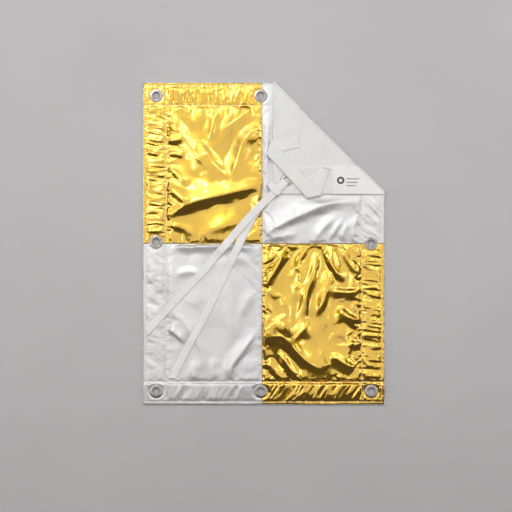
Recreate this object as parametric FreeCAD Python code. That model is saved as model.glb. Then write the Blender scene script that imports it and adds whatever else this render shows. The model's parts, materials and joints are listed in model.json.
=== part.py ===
import FreeCAD, Part
import math
import os

# Chequered two-colour reflector sheet with a webbing hem, eight rolled grommets and one
# corner folded over to the front, where a loop of webbing and a hitched tie tape hold on.
# Frame: origin under the centre of the sheet, +X right, +Y up the sheet, +Z to the front.
# Everything is in millimetres.

Vector = FreeCAD.Vector

# Driving dimensions of the sheet
SHEET_WIDTH = 457.2
SHEET_HEIGHT = 609.6
HEM_WIDTH = 50.8
EDGE_REVEAL = 1.2
SEAM_X = -3.0
SEAM_Y = 0.0
WEBBING_THICKNESS = 1.5
BACKING_THICKNESS = 0.6
FACE_THICKNESS = 0.6

# Folds: the corner turns over to the front, the lower half turns behind
FOLD_LEG = 211.0
FLAP_GAP = 0.4
CREASE_BELOW_SEAM = 18.0
FOLD_SETBACK = 0.2
HALF_TURN = 180.0

# Grommets
EYELET_RADIUS = 12.7
HOLE_RADIUS = 6.75
BARREL_WALL = 0.5
CLOTH_CLEARANCE = 0.1
WASHER_RADIUS = 11.5
WASHER_THICKNESS = 1.0
FLANGE_THICKNESS = 1.2
LIP_RADIUS = 0.9
GROMMET_INSET = 25.4
TOP_MIDDLE_SHIFT = -2.5
LEFT_MIDDLE_SHIFT = 3.0

# Stitching
THREAD_WIDTH = 0.8
THREAD_HEIGHT = 0.4
OUTER_ROW = 6.0
INNER_ROW_INSET = 7.3
ROW_PAIR_SPACING = 3.4
SEAM_ROW_OFFSET = 2.2

# Sewn label on the back of the right hem, cut in two by the corner fold
LABEL_FROM_TOP = 113.5
LABEL_LENGTH = 101.6
LABEL_THICKNESS = 0.4
PRINT_HEIGHT = 0.15
MARK_RADIUS = 7.0
MARK_LINE = 3.6
MARK_INSET = 14.0
RULE_LENGTH = 24.0
RULE_WIDTH = 1.3
RULE_SPACING = 6.5
RULE_COUNT = 3

# Loop of webbing over the back of the folded corner
LOOP_WIDTH = 25.4
LOOP_THICKNESS = 1.5
LOOP_CLEARANCE = 0.2
LOOP_LEFT_TURN = (-7.0, 87.0)
LOOP_BOTTOM_TURN = (77.0, -4.0)
LOOP_LEFT_TURN_ANGLE = 72.4
LOOP_BOTTOM_TURN_ANGLE = 11.5

# Tie tape, hitched through the corner grommet
TAPE_WIDTH = 15.0
TAPE_THICKNESS = 1.0
TAPE_CLEARANCE = 0.3
LAYER_GAP = 0.2
BIGHT_NEAR = 2.5
BIGHT_HALF_SPAN = 19.0
LEG_INNER_SPAN = 12.0
LEG_MEETING = 18.0
HOLE_BLOCK_HALF_WIDTH = 5.0
HOLE_BLOCK_THICKNESS = 2.2
TAIL_START = 27.0
ARC_SHARE = 0.45

# Heights of the flat layers, from the floor up
WEBBING_BOTTOM = WASHER_THICKNESS
BACKING_BOTTOM = WEBBING_BOTTOM + WEBBING_THICKNESS
FACE_BOTTOM = BACKING_BOTTOM + BACKING_THICKNESS
FACE_TOP = FACE_BOTTOM + FACE_THICKNESS
FLANGE_TOP = FACE_TOP + FLANGE_THICKNESS
LABEL_BOTTOM = WEBBING_BOTTOM - LABEL_THICKNESS

# The fold axis stands where the tape's legs fit between the face and the turned eyelet
FOLD_AXIS_Z = (FACE_TOP + FLANGE_TOP + TAPE_THICKNESS) / 2 + FLAP_GAP

# Heights on the folded corner, whose back faces up
FLAP_WEBBING_TOP = 2 * FOLD_AXIS_Z - WEBBING_BOTTOM
FLAP_WASHER_TOP = 2 * FOLD_AXIS_Z
LOOP_BOTTOM = FLAP_WASHER_TOP + LOOP_CLEARANCE
TAPE_ON_SHEET = FACE_TOP + THREAD_HEIGHT + TAPE_CLEARANCE + TAPE_THICKNESS / 2
LOWER_TAIL_Z = FLAP_WASHER_TOP + TAPE_CLEARANCE + TAPE_THICKNESS / 2
UPPER_TAIL_Z = LOWER_TAIL_Z + TAPE_THICKNESS + LAYER_GAP
BIGHT_BOTTOM = UPPER_TAIL_Z + TAPE_THICKNESS / 2 + LAYER_GAP
LEG_BOTTOM = FACE_TOP + FLAP_GAP

# Plan places that follow from the sizes above
HALF_WIDTH = SHEET_WIDTH / 2
HALF_HEIGHT = SHEET_HEIGHT / 2
FOLD_SUM = HALF_WIDTH + HALF_HEIGHT - FOLD_LEG
TIP_X = FOLD_SUM - HALF_HEIGHT
TIP_Y = FOLD_SUM - HALF_WIDTH
CREASE_Y = SEAM_Y - CREASE_BELOW_SEAM
GROMMET_FROM_TIP = GROMMET_INSET * math.sqrt(2)
BIG = 2 * (SHEET_WIDTH + SHEET_HEIGHT)

# Grommet places by name, on the flat sheet
GROMMETS = {
    "upper_left": (-HALF_WIDTH + GROMMET_INSET, HALF_HEIGHT - GROMMET_INSET),
    "top_middle": (SEAM_X + TOP_MIDDLE_SHIFT, HALF_HEIGHT - GROMMET_INSET),
    "left_middle": (-HALF_WIDTH + GROMMET_INSET, SEAM_Y + LEFT_MIDDLE_SHIFT),
    "right_middle": (HALF_WIDTH - GROMMET_INSET, SEAM_Y),
    "lower_left": (-HALF_WIDTH + GROMMET_INSET, -HALF_HEIGHT + GROMMET_INSET),
    "bottom_middle": (SEAM_X + TOP_MIDDLE_SHIFT, -HALF_HEIGHT + GROMMET_INSET),
    "lower_right": (HALF_WIDTH - GROMMET_INSET, -HALF_HEIGHT + GROMMET_INSET),
    "corner": (HALF_WIDTH - GROMMET_INSET, HALF_HEIGHT - GROMMET_INSET),
}

# Routes of the two tails, on their centre lines, from the grommet to the cut end
LEFT_TAIL_ROUTE = [
    (36.7, 112.9, UPPER_TAIL_Z),
    (15.0, 91.5, UPPER_TAIL_Z - 0.3),
    (-14.5, 63.0, TAPE_ON_SHEET + 1.6),
    (-43.0, 32.0, TAPE_ON_SHEET + 1.5),
    (-79.0, -10.5, TAPE_ON_SHEET),
    (-118.5, -57.5, TAPE_ON_SHEET),
    (-168.0, -109.0, TAPE_ON_SHEET),
    (-217.0, -161.5, TAPE_ON_SHEET),
]
RIGHT_TAIL_ROUTE = [
    (36.7, 112.9, LOWER_TAIL_Z),
    (14.0, 91.0, LOWER_TAIL_Z - 0.3),
    (-12.0, 66.5, TAPE_ON_SHEET + 0.1),
    (-31.0, 31.0, TAPE_ON_SHEET),
    (-52.5, -13.5, TAPE_ON_SHEET),
    (-81.5, -76.0, TAPE_ON_SHEET),
    (-114.5, -142.0, TAPE_ON_SHEET),
    (-145.0, -199.0, TAPE_ON_SHEET),
    (-173.5, -254.0, TAPE_ON_SHEET),
]


def plate(points, bottom, thickness):
    """A flat plate: a closed plan outline of (x, y) points, raised from bottom."""
    corners = [Vector(x, y, bottom) for x, y in points]
    wire = Part.makePolygon(corners + corners[:1])
    return Part.Face(wire).extrude(Vector(0, 0, thickness))


def rectangle(x0, y0, x1, y1):
    return [(x0, y0), (x1, y0), (x1, y1), (x0, y1)]


def disc(x, y, radius, bottom, height):
    return Part.makeCylinder(radius, height, Vector(x, y, bottom), Vector(0, 0, 1))


def corner_side(offset):
    """Everything on the corner's side of the fold line, moved out by offset."""
    line = FOLD_SUM + offset * math.sqrt(2)
    return plate([(line + BIG, -BIG), (line + BIG, BIG), (line - BIG, BIG)], -BIG / 2, BIG)


def below_crease(offset):
    """Everything below the crease line, moved down by offset."""
    top = CREASE_Y - offset
    return plate(rectangle(-BIG, top - BIG, BIG, top), -BIG / 2, BIG)


def upper_part(shape):
    """The stretch of a sheet layer that stays on the upper half."""
    return shape.cut(below_crease(-FOLD_SETBACK)).cut(corner_side(-FOLD_SETBACK))


def lower_part(shape):
    return shape.common(below_crease(FOLD_SETBACK))


def folded(shape):
    """Turn a piece of the corner over the fold line, on to the front of the sheet."""
    return shape.rotated(Vector(FOLD_SUM, 0, FOLD_AXIS_Z), Vector(-1, 1, 0), HALF_TURN)


def corner_part(shape):
    return folded(shape.common(corner_side(FOLD_SETBACK)))


def punched(shape):
    """Cut the grommet holes through a cloth layer."""
    radius = HOLE_RADIUS + BARREL_WALL + CLOTH_CLEARANCE
    for x, y in GROMMETS.values():
        shape = shape.cut(disc(x, y, radius, -BIG / 2, BIG))
    return shape


def face_panel(x0, y0, x1, y1):
    """A panel of the face cloth, kept inside the narrow white edge."""
    x_limit = HALF_WIDTH - EDGE_REVEAL
    y_limit = HALF_HEIGHT - EDGE_REVEAL
    outline = rectangle(max(x0, -x_limit), max(y0, -y_limit), min(x1, x_limit), min(y1, y_limit))
    return punched(plate(outline, FACE_BOTTOM, FACE_THICKNESS))


def face_pieces():
    upper_left = face_panel(-HALF_WIDTH, SEAM_Y, SEAM_X, HALF_HEIGHT)
    upper_right = face_panel(SEAM_X, SEAM_Y, HALF_WIDTH, HALF_HEIGHT)
    lower_left = face_panel(-HALF_WIDTH, -HALF_HEIGHT, SEAM_X, SEAM_Y)
    lower_right = face_panel(SEAM_X, -HALF_HEIGHT, HALF_WIDTH, SEAM_Y)
    return {
        "gold_face_upper_left": upper_part(upper_left),
        "silver_face_upper_right": upper_part(upper_right),
        "silver_face_corner": corner_part(upper_right),
        "silver_face_left_strip": upper_part(lower_left),
        "silver_face_lower_left": lower_part(lower_left),
        "gold_face_right_strip": upper_part(lower_right),
        "gold_face_lower_right": lower_part(lower_right),
    }


def backing_pieces():
    outline = rectangle(-HALF_WIDTH, -HALF_HEIGHT, HALF_WIDTH, HALF_HEIGHT)
    backing = punched(plate(outline, BACKING_BOTTOM, BACKING_THICKNESS))
    return {
        "backing_upper": upper_part(backing),
        "backing_lower": lower_part(backing),
        "backing_corner": corner_part(backing),
    }


def webbing(x0, y0, x1, y1):
    return punched(plate(rectangle(x0, y0, x1, y1), WEBBING_BOTTOM, WEBBING_THICKNESS))


def hem_pieces():
    """Webbing round the back: top and bottom run full width, the sides butt between them."""
    inner_x = HALF_WIDTH - HEM_WIDTH
    inner_y = HALF_HEIGHT - HEM_WIDTH
    top = webbing(-HALF_WIDTH, inner_y, HALF_WIDTH, HALF_HEIGHT)
    bottom = webbing(-HALF_WIDTH, -HALF_HEIGHT, HALF_WIDTH, -inner_y)
    left = webbing(-HALF_WIDTH, -inner_y, -inner_x, inner_y)
    right = webbing(inner_x, -inner_y, HALF_WIDTH, inner_y)
    return {
        "hem_webbing_top": upper_part(top),
        "hem_webbing_top_corner": corner_part(top),
        "hem_webbing_left_upper": upper_part(left),
        "hem_webbing_left_lower": lower_part(left),
        "hem_webbing_right_upper": upper_part(right),
        "hem_webbing_right_corner": corner_part(right),
        "hem_webbing_right_lower": lower_part(right),
        "hem_webbing_bottom": bottom,
    }


def thread_along_x(y):
    reach = HALF_WIDTH - EDGE_REVEAL
    half = THREAD_WIDTH / 2
    return plate(rectangle(-reach, y - half, reach, y + half), FACE_TOP, THREAD_HEIGHT)


def thread_along_y(x):
    reach = HALF_HEIGHT - EDGE_REVEAL
    half = THREAD_WIDTH / 2
    return plate(rectangle(x - half, -reach, x + half, reach), FACE_TOP, THREAD_HEIGHT)


def clear_of_eyelets(shape):
    radius = EYELET_RADIUS + CLOTH_CLEARANCE
    for x, y in GROMMETS.values():
        shape = shape.cut(disc(x, y, radius, FACE_TOP, FLANGE_THICKNESS))
    return shape


def hem_thread():
    """All rows of hem stitching: one outer and one inner, the inner one double at the sides."""
    inner = HEM_WIDTH - INNER_ROW_INSET
    rows = []
    for side in (-1, 1):
        for inset in (OUTER_ROW, inner):
            rows.append(thread_along_x(side * (HALF_HEIGHT - inset)))
        for inset in (OUTER_ROW, inner, inner - ROW_PAIR_SPACING):
            rows.append(thread_along_y(side * (HALF_WIDTH - inset)))
    return clear_of_eyelets(rows[0].multiFuse(rows[1:]))


def seam_thread(rows):
    """The edge stitching of the two panel seams, kept clear of hem rows and grommets."""
    rows_fused = rows[0].multiFuse(rows[1:])
    inner = HEM_WIDTH - INNER_ROW_INSET + THREAD_WIDTH
    x_limit = HALF_WIDTH - inner
    y_limit = HALF_HEIGHT - inner
    field = plate(rectangle(-x_limit, -y_limit, x_limit, y_limit), FACE_TOP, THREAD_HEIGHT)
    return clear_of_eyelets(rows_fused.common(field))


def stitching_pieces():
    hem = hem_thread()
    seam = seam_thread([
        thread_along_x(SEAM_Y - SEAM_ROW_OFFSET),
        thread_along_y(SEAM_X - SEAM_ROW_OFFSET),
    ])
    return {
        "hem_stitching_upper": upper_part(hem),
        "hem_stitching_lower": lower_part(hem),
        "hem_stitching_corner": corner_part(hem),
        "seam_stitching_upper": upper_part(seam),
        "seam_stitching_lower": lower_part(seam),
    }


def eyelet(x, y):
    """Front half of a grommet: a barrel with a rolled flange over the face."""
    barrel_radius = HOLE_RADIUS + BARREL_WALL
    bore_top = FLANGE_TOP - LIP_RADIUS
    round_share = 1 - math.sqrt(0.5)
    inner_middle = Vector(HOLE_RADIUS + LIP_RADIUS * round_share, 0, FLANGE_TOP - LIP_RADIUS * round_share)
    outer_middle = Vector(EYELET_RADIUS - LIP_RADIUS * round_share, 0, FLANGE_TOP - LIP_RADIUS * round_share)
    points = [
        Vector(HOLE_RADIUS, 0, 0),
        Vector(HOLE_RADIUS, 0, bore_top),
        Vector(HOLE_RADIUS + LIP_RADIUS, 0, FLANGE_TOP),
        Vector(EYELET_RADIUS - LIP_RADIUS, 0, FLANGE_TOP),
        Vector(EYELET_RADIUS, 0, bore_top),
        Vector(EYELET_RADIUS, 0, FACE_TOP),
        Vector(barrel_radius, 0, FACE_TOP),
        Vector(barrel_radius, 0, 0),
    ]
    edges = [
        Part.LineSegment(points[0], points[1]),
        Part.Arc(points[1], inner_middle, points[2]),
        Part.LineSegment(points[2], points[3]),
        Part.Arc(points[3], outer_middle, points[4]),
        Part.LineSegment(points[4], points[5]),
        Part.LineSegment(points[5], points[6]),
        Part.LineSegment(points[6], points[7]),
        Part.LineSegment(points[7], points[0]),
    ]
    profile = Part.Face(Part.Wire([edge.toShape() for edge in edges]))
    ring = profile.revolve(Vector(0, 0, 0), Vector(0, 0, 1), 360)
    ring.translate(Vector(x, y, 0))
    return ring


def washer(x, y):
    """Back half of a grommet: a flat ring with a rounded outer edge, seated on the webbing."""
    ring = disc(x, y, WASHER_RADIUS, 0, WASHER_THICKNESS)
    outer_edges = [edge for edge in ring.Edges if edge.BoundBox.ZMax < WASHER_THICKNESS / 2]
    ring = ring.makeFillet(WASHER_THICKNESS / 2, outer_edges)
    return ring.cut(disc(x, y, HOLE_RADIUS + BARREL_WALL, -WASHER_THICKNESS, 3 * WASHER_THICKNESS))


def grommet_pieces():
    pieces = {}
    for name, (x, y) in GROMMETS.items():
        pieces["eyelet_" + name] = eyelet(x, y)
        pieces["washer_" + name] = washer(x, y)
    for node in ("eyelet_corner", "washer_corner"):
        pieces[node] = folded(pieces[node])
    return pieces


def label_pieces():
    top = HALF_HEIGHT - LABEL_FROM_TOP
    outline = rectangle(HALF_WIDTH - HEM_WIDTH, top - LABEL_LENGTH, HALF_WIDTH, top)
    label = plate(outline, LABEL_BOTTOM, LABEL_THICKNESS)
    return {
        "label_sheet_part": upper_part(label),
        "label_corner_part": corner_part(label),
        "label_mark": folded(label_mark(top)),
    }


def label_mark(label_top):
    """A plain ring and a few plain rules, printed on the back of the label."""
    ring_x = HALF_WIDTH - HEM_WIDTH / 2
    ring_y = label_top - MARK_INSET
    bottom = LABEL_BOTTOM - PRINT_HEIGHT
    ring = disc(ring_x, ring_y, MARK_RADIUS, bottom, PRINT_HEIGHT)
    ring = ring.cut(disc(ring_x, ring_y, MARK_RADIUS - MARK_LINE, bottom, PRINT_HEIGHT))
    rule_top = ring_y - MARK_RADIUS - MARK_LINE
    pieces = [ring]
    for index in range(RULE_COUNT):
        x = ring_x + index * RULE_SPACING - MARK_RADIUS / 2
        length = RULE_LENGTH - index * RULE_SPACING / 2
        rule = rectangle(x, rule_top - length, x + RULE_WIDTH, rule_top)
        pieces.append(plate(rule, bottom, PRINT_HEIGHT))
    return Part.makeCompound(pieces)


def direction(angle):
    radians = math.radians(angle)
    return Vector(math.cos(radians), math.sin(radians), 0)


def crossing(point, along, line_point, line_along):
    """Where the line through point meets the line through line_point, in plan."""
    gap = line_point - point
    turn = along.cross(line_along).z
    return point + along * (gap.cross(line_along).z / turn)


def mirrored(vector, line_along):
    """A plan direction reflected in a line's direction."""
    return line_along * (2 * vector.dot(line_along)) - vector


def loop_end(turn_point, turn_angle, strap_along, edges):
    """One end of the loop, turned back under the strap to the inner side of the hem."""
    turn_along = direction(turn_angle)
    end_along = mirrored(strap_along, turn_along)
    starts = [crossing(edge, strap_along, turn_point, turn_along) for edge in edges]
    reach = HEM_WIDTH * 2
    outline = [starts[0], starts[1], starts[1] + end_along * reach, starts[0] + end_along * reach]
    thickness = LOOP_BOTTOM - FLAP_WEBBING_TOP
    end = plate([(point.x, point.y) for point in outline], FLAP_WEBBING_TOP, thickness)
    return end, starts


def loop_piece():
    """One length of webbing: a strap across the corner, both ends turned round the edges."""
    tip = Vector(TIP_X, TIP_Y, 0)
    left = tip + Vector(*LOOP_LEFT_TURN)
    bottom = tip + Vector(*LOOP_BOTTOM_TURN)
    along = (bottom - left).normalize()
    across = Vector(-along.y, along.x, 0) * (LOOP_WIDTH / 2)
    edges = [left + across, left - across]
    left_end, left_starts = loop_end(left, LOOP_LEFT_TURN_ANGLE, along * -1, edges)
    bottom_end, bottom_starts = loop_end(bottom, LOOP_BOTTOM_TURN_ANGLE, along, edges)
    left_field = rectangle(TIP_X - BIG, TIP_Y, TIP_X + HEM_WIDTH, TIP_Y + BIG)
    bottom_field = rectangle(TIP_X, TIP_Y - BIG, TIP_X + BIG, TIP_Y + HEM_WIDTH)
    left_end = left_end.common(plate(left_field, 0, BIG))
    bottom_end = bottom_end.common(plate(bottom_field, 0, BIG))
    outline = [left_starts[0], left_starts[1], bottom_starts[1], bottom_starts[0]]
    strap = plate([(point.x, point.y) for point in outline], LOOP_BOTTOM, LOOP_THICKNESS)
    return strap.multiFuse([left_end, bottom_end]).removeSplitter()


def from_tip(across, inward):
    """Plan point at a distance inward from the folded tip, and across the diagonal."""
    half = math.sqrt(0.5)
    return (TIP_X + (inward + across) * half, TIP_Y + (inward - across) * half)


def tip_plate(points, bottom, thickness):
    return plate([from_tip(across, inward) for across, inward in points], bottom, thickness)


def hitch_piece():
    """The hitch: a bight over the tip, its legs under the flap, and both up the hole."""
    bight_far = BIGHT_NEAR + TAPE_WIDTH
    span = BIGHT_HALF_SPAN
    top = BIGHT_BOTTOM + TAPE_THICKNESS
    half_tape = TAPE_WIDTH / 2
    block_near = GROMMET_FROM_TIP - math.sqrt(
        (HOLE_RADIUS - TAPE_CLEARANCE) ** 2 - HOLE_BLOCK_HALF_WIDTH ** 2)
    block_far = block_near + HOLE_BLOCK_THICKNESS
    bight = tip_plate(rectangle(-span, BIGHT_NEAR, span, bight_far), BIGHT_BOTTOM, TAPE_THICKNESS)
    sides = [
        tip_plate(rectangle(min(a, b), BIGHT_NEAR, max(a, b), bight_far), LEG_BOTTOM, top - LEG_BOTTOM)
        for a, b in ((span - TAPE_THICKNESS, span), (TAPE_THICKNESS - span, -span))
    ]
    legs = tip_plate([
        (span, BIGHT_NEAR),
        (span, bight_far),
        (HOLE_BLOCK_HALF_WIDTH, block_far),
        (-HOLE_BLOCK_HALF_WIDTH, block_far),
        (-span, bight_far),
        (-span, BIGHT_NEAR),
        (-LEG_INNER_SPAN, BIGHT_NEAR),
        (0, LEG_MEETING),
        (LEG_INNER_SPAN, BIGHT_NEAR),
    ], LEG_BOTTOM, TAPE_THICKNESS)
    tails_bottom = LOWER_TAIL_Z - TAPE_THICKNESS / 2
    tails_top = UPPER_TAIL_Z + TAPE_THICKNESS / 2
    block_outline = rectangle(-HOLE_BLOCK_HALF_WIDTH, block_near, HOLE_BLOCK_HALF_WIDTH, block_far)
    block = tip_plate(block_outline, LEG_BOTTOM, tails_top - LEG_BOTTOM)
    over_rim = tip_plate(
        rectangle(-half_tape, TAIL_START, half_tape, block_far), tails_bottom, tails_top - tails_bottom)
    return bight.multiFuse(sides + [legs, block, over_rim]).removeSplitter()


def rounded_path(points):
    """Straight runs joined by tangent arcs, each as large as its two runs allow."""
    edges = []
    radii = []
    start = points[0]
    for before, corner, after in zip(points, points[1:], points[2:]):
        first = (before - corner)
        second = (after - corner)
        run = ARC_SHARE * min(first.Length, second.Length)
        first.normalize()
        second.normalize()
        half_turn = (math.pi - first.getAngle(second)) / 2
        radius = run / math.tan(half_turn)
        entry = corner + first * run
        leave = corner + second * run
        inward = (first + second).normalize()
        middle = corner + inward * (radius / math.cos(half_turn) - radius)
        edges.append(Part.LineSegment(start, entry).toShape())
        edges.append(Part.Arc(entry, middle, leave).toShape())
        radii.append(radius)
        start = leave
    edges.append(Part.LineSegment(start, points[-1]).toShape())
    return Part.Wire(edges), radii


def tape_along(route, name):
    """Flat tape swept along a route, lying level across its width."""
    path, radii = rounded_path([Vector(*point) for point in route])
    start = Vector(*route[0])
    heading = (Vector(*route[1]) - start).normalize()
    side = Vector(0, 0, 1).cross(heading).normalize() * (TAPE_WIDTH / 2)
    up = heading.cross(side).normalize() * (TAPE_THICKNESS / 2)
    corners = [start + side + up, start - side + up, start - side - up, start + side - up]
    profile = Part.makePolygon(corners + corners[:1])
    sweep = Part.BRepOffsetAPI.MakePipeShell(path)
    sweep.setBiNormalMode(Vector(0, 0, 1))
    sweep.add(profile)
    sweep.build()
    sweep.makeSolid()
    tape = sweep.shape()
    section = TAPE_WIDTH * TAPE_THICKNESS
    print(name, "length %.1f mm," % path.Length,
          "volume over section x length %.4f," % (tape.Volume / (section * path.Length)),
          "radii", [round(radius) for radius in radii])
    return tape


def tie_pieces():
    return {
        "tie_hitch": hitch_piece(),
        "tie_tail_left": tape_along(LEFT_TAIL_ROUTE, "tie_tail_left"),
        "tie_tail_right": tape_along(RIGHT_TAIL_ROUTE, "tie_tail_right"),
    }


def build():
    pieces = {}
    pieces.update(face_pieces())
    pieces.update(backing_pieces())
    pieces.update(hem_pieces())
    pieces.update(stitching_pieces())
    pieces.update(grommet_pieces())
    pieces.update(label_pieces())
    pieces["corner_loop_webbing"] = loop_piece()
    pieces.update(tie_pieces())
    return pieces


os.makedirs("parts", exist_ok=True)
for node, solid in build().items():
    solid.exportStep("parts/" + node + ".step")
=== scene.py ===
import json
import math

import bmesh
import bpy
import numpy as np
from mathutils import Matrix, Vector


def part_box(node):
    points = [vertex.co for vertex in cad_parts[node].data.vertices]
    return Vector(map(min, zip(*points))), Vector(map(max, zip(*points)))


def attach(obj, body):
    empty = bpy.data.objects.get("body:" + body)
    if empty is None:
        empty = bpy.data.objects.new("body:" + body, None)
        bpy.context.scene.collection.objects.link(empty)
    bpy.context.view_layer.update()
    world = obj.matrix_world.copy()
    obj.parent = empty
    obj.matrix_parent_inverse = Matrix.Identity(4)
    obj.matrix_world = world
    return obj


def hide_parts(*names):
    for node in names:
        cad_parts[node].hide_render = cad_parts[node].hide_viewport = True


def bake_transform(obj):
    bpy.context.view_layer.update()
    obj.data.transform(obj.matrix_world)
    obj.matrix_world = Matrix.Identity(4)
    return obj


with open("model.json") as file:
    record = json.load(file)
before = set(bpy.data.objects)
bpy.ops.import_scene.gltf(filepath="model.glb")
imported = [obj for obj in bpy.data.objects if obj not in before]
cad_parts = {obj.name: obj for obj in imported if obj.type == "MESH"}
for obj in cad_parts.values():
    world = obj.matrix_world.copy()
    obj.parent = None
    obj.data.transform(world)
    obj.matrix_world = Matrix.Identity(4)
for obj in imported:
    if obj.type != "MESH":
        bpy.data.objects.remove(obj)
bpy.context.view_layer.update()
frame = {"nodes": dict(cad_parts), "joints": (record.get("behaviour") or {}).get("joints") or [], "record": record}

MM = 0.001

# ---------------------------------------------------------------- sizes, in millimetres
# Read from the frame, so that every piece lies where the solids are.


def box_mm(node):
    low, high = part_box(node)
    return np.array(low) / MM, np.array(high) / MM


HALF_W, HALF_H, _ = box_mm("backing_upper")[1]
FACE_HALF_W = box_mm("silver_face_upper_right")[1][0]
FACE_HALF_H = box_mm("gold_face_upper_left")[1][1]
FACE_TOP = box_mm("gold_face_upper_left")[1][2]
FACE_BOTTOM = box_mm("gold_face_upper_left")[0][2]
BACKING_BOTTOM = box_mm("backing_upper")[0][2]
WEBBING_BOTTOM = box_mm("hem_webbing_top")[0][2]
HEM = HALF_H - box_mm("hem_webbing_top")[0][1]
SEAM_X = box_mm("gold_face_upper_left")[1][0]
SEAM_Y = box_mm("gold_face_upper_left")[0][1]
TIP = box_mm("backing_corner")[0]
FLAP_WEBBING_TOP = box_mm("hem_webbing_top_corner")[1][2]
LOOP_TOP = box_mm("corner_loop_webbing")[1][2]
HITCH_TOP = box_mm("tie_hitch")[1][2]
JOINTS = {joint["name"]: joint for joint in frame["joints"]}
FOLD_POINT = Vector(JOINTS["corner_fold"]["pos_m"]) / MM
FOLD_AXIS = Vector(JOINTS["corner_fold"]["axis"])
FOLD_SUM = FOLD_POINT.x + FOLD_POINT.y
CREASE_Y = JOINTS["half_fold"]["pos_m"][1] / MM
FOLD_TURN = Matrix.Rotation(math.pi, 4, FOLD_AXIS)

# How far the rows of stitches lie from the sheet's edge
OUTER_ROW = 6.0
INNER_ROW = HEM - 7.3
SECOND_ROW = INNER_ROW - 3.4
STITCH_PITCH = 5.3
# The simulated grid's step, half the crease's width, and the cut edges' distance from the fold
GRID_STEP = 3.3
FOLD_GAP = 0.12
GROMMET_NAMES = ["upper_left", "top_middle", "left_middle", "right_middle",
                 "lower_left", "bottom_middle", "lower_right"]


def grommet_place(name):
    low, high = box_mm("eyelet_" + name)
    return (low + high) / 2


def flat_place(point):
    """The place on the unfolded sheet of a point of the folded corner."""
    return np.array([FOLD_SUM - point[1], FOLD_SUM - point[0]])


GROMMETS = {name: grommet_place(name)[:2] for name in GROMMET_NAMES}
GROMMETS["corner"] = flat_place(grommet_place("corner"))

# ---------------------------------------------------------------- camera, lights, floor

VIEW_WIDTH = 969.0
CAMERA_HEIGHT = 3200.0
AIM = Vector((-14.7, -23.5, 0))
SENSOR = 36.0


def make_camera():
    data = bpy.data.cameras.new("camera")
    data.sensor_width = SENSOR
    data.lens = SENSOR * CAMERA_HEIGHT / VIEW_WIDTH
    data.clip_start = 0.1
    data.clip_end = 20.0
    camera = bpy.data.objects.new("camera", data)
    camera.location = Vector((AIM.x, AIM.y, CAMERA_HEIGHT)) * MM
    bpy.context.collection.objects.link(camera)
    bpy.context.scene.camera = camera


def softbox(name, place, target, size, radiance, tint=(1, 1, 1)):
    """A rectangular lamp of one brightness, aimed at a point; sizes in metres."""
    data = bpy.data.lights.new(name, "AREA")
    data.shape = "RECTANGLE"
    data.size, data.size_y = size
    data.energy = radiance * math.pi * size[0] * size[1]
    data.color = tint
    lamp = bpy.data.objects.new(name, data)
    lamp.location = place
    lamp.rotation_mode = "QUATERNION"
    lamp.rotation_quaternion = (Vector(target) - Vector(place)).to_track_quat("-Z", "Y")
    lamp.visible_camera = False
    bpy.context.collection.objects.link(lamp)


def lamp_place(turn, lean, distance):
    """A place over the sheet: turned from +X towards +Y, leaning from straight up."""
    turn, lean = math.radians(turn), math.radians(lean)
    out = distance * math.sin(lean)
    return (out * math.cos(turn), out * math.sin(turn), distance * math.cos(lean))


def make_lights():
    softbox("overhead", (0, 0.75, 1.7), (0, 0.25, 0), (3.4, 3.0), 0.9)
    softbox("broad", lamp_place(118, 31, 2.2), (0, 0, 0), (1.5, 1.0), 0.95, (1.0, 0.99, 0.97))
    softbox("key", lamp_place(126, 24, 2.2), (0, 0, 0), (0.42, 0.34), 6.0, (1.0, 0.99, 0.96))
    softbox("top_right", lamp_place(56, 33, 2.2), (0, 0, 0), (0.32, 0.6), 3.4)
    softbox("left_strip", lamp_place(188, 32, 2.2), (0, 0, 0), (0.18, 0.9), 3.2)
    softbox("right_strip", lamp_place(-6, 38, 2.2), (0, 0, 0), (0.16, 0.9), 2.6)
    softbox("low_left", lamp_place(170, 64, 2.6), (0, 0, 0), (1.4, 0.9), 2.4)
    softbox("low_right", lamp_place(15, 64, 2.6), (0, 0, 0), (1.4, 0.9), 2.4, (0.98, 0.99, 1.0))
    world = bpy.data.worlds.new("studio")
    world.use_nodes = True
    background = world.node_tree.nodes["Background"]
    background.inputs["Color"].default_value = (0.105, 0.088, 0.078, 1)
    background.inputs["Strength"].default_value = 1.0
    bpy.context.scene.world = world
    bpy.context.scene.view_settings.view_transform = "Standard"


# ---------------------------------------------------------------- materials


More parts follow.
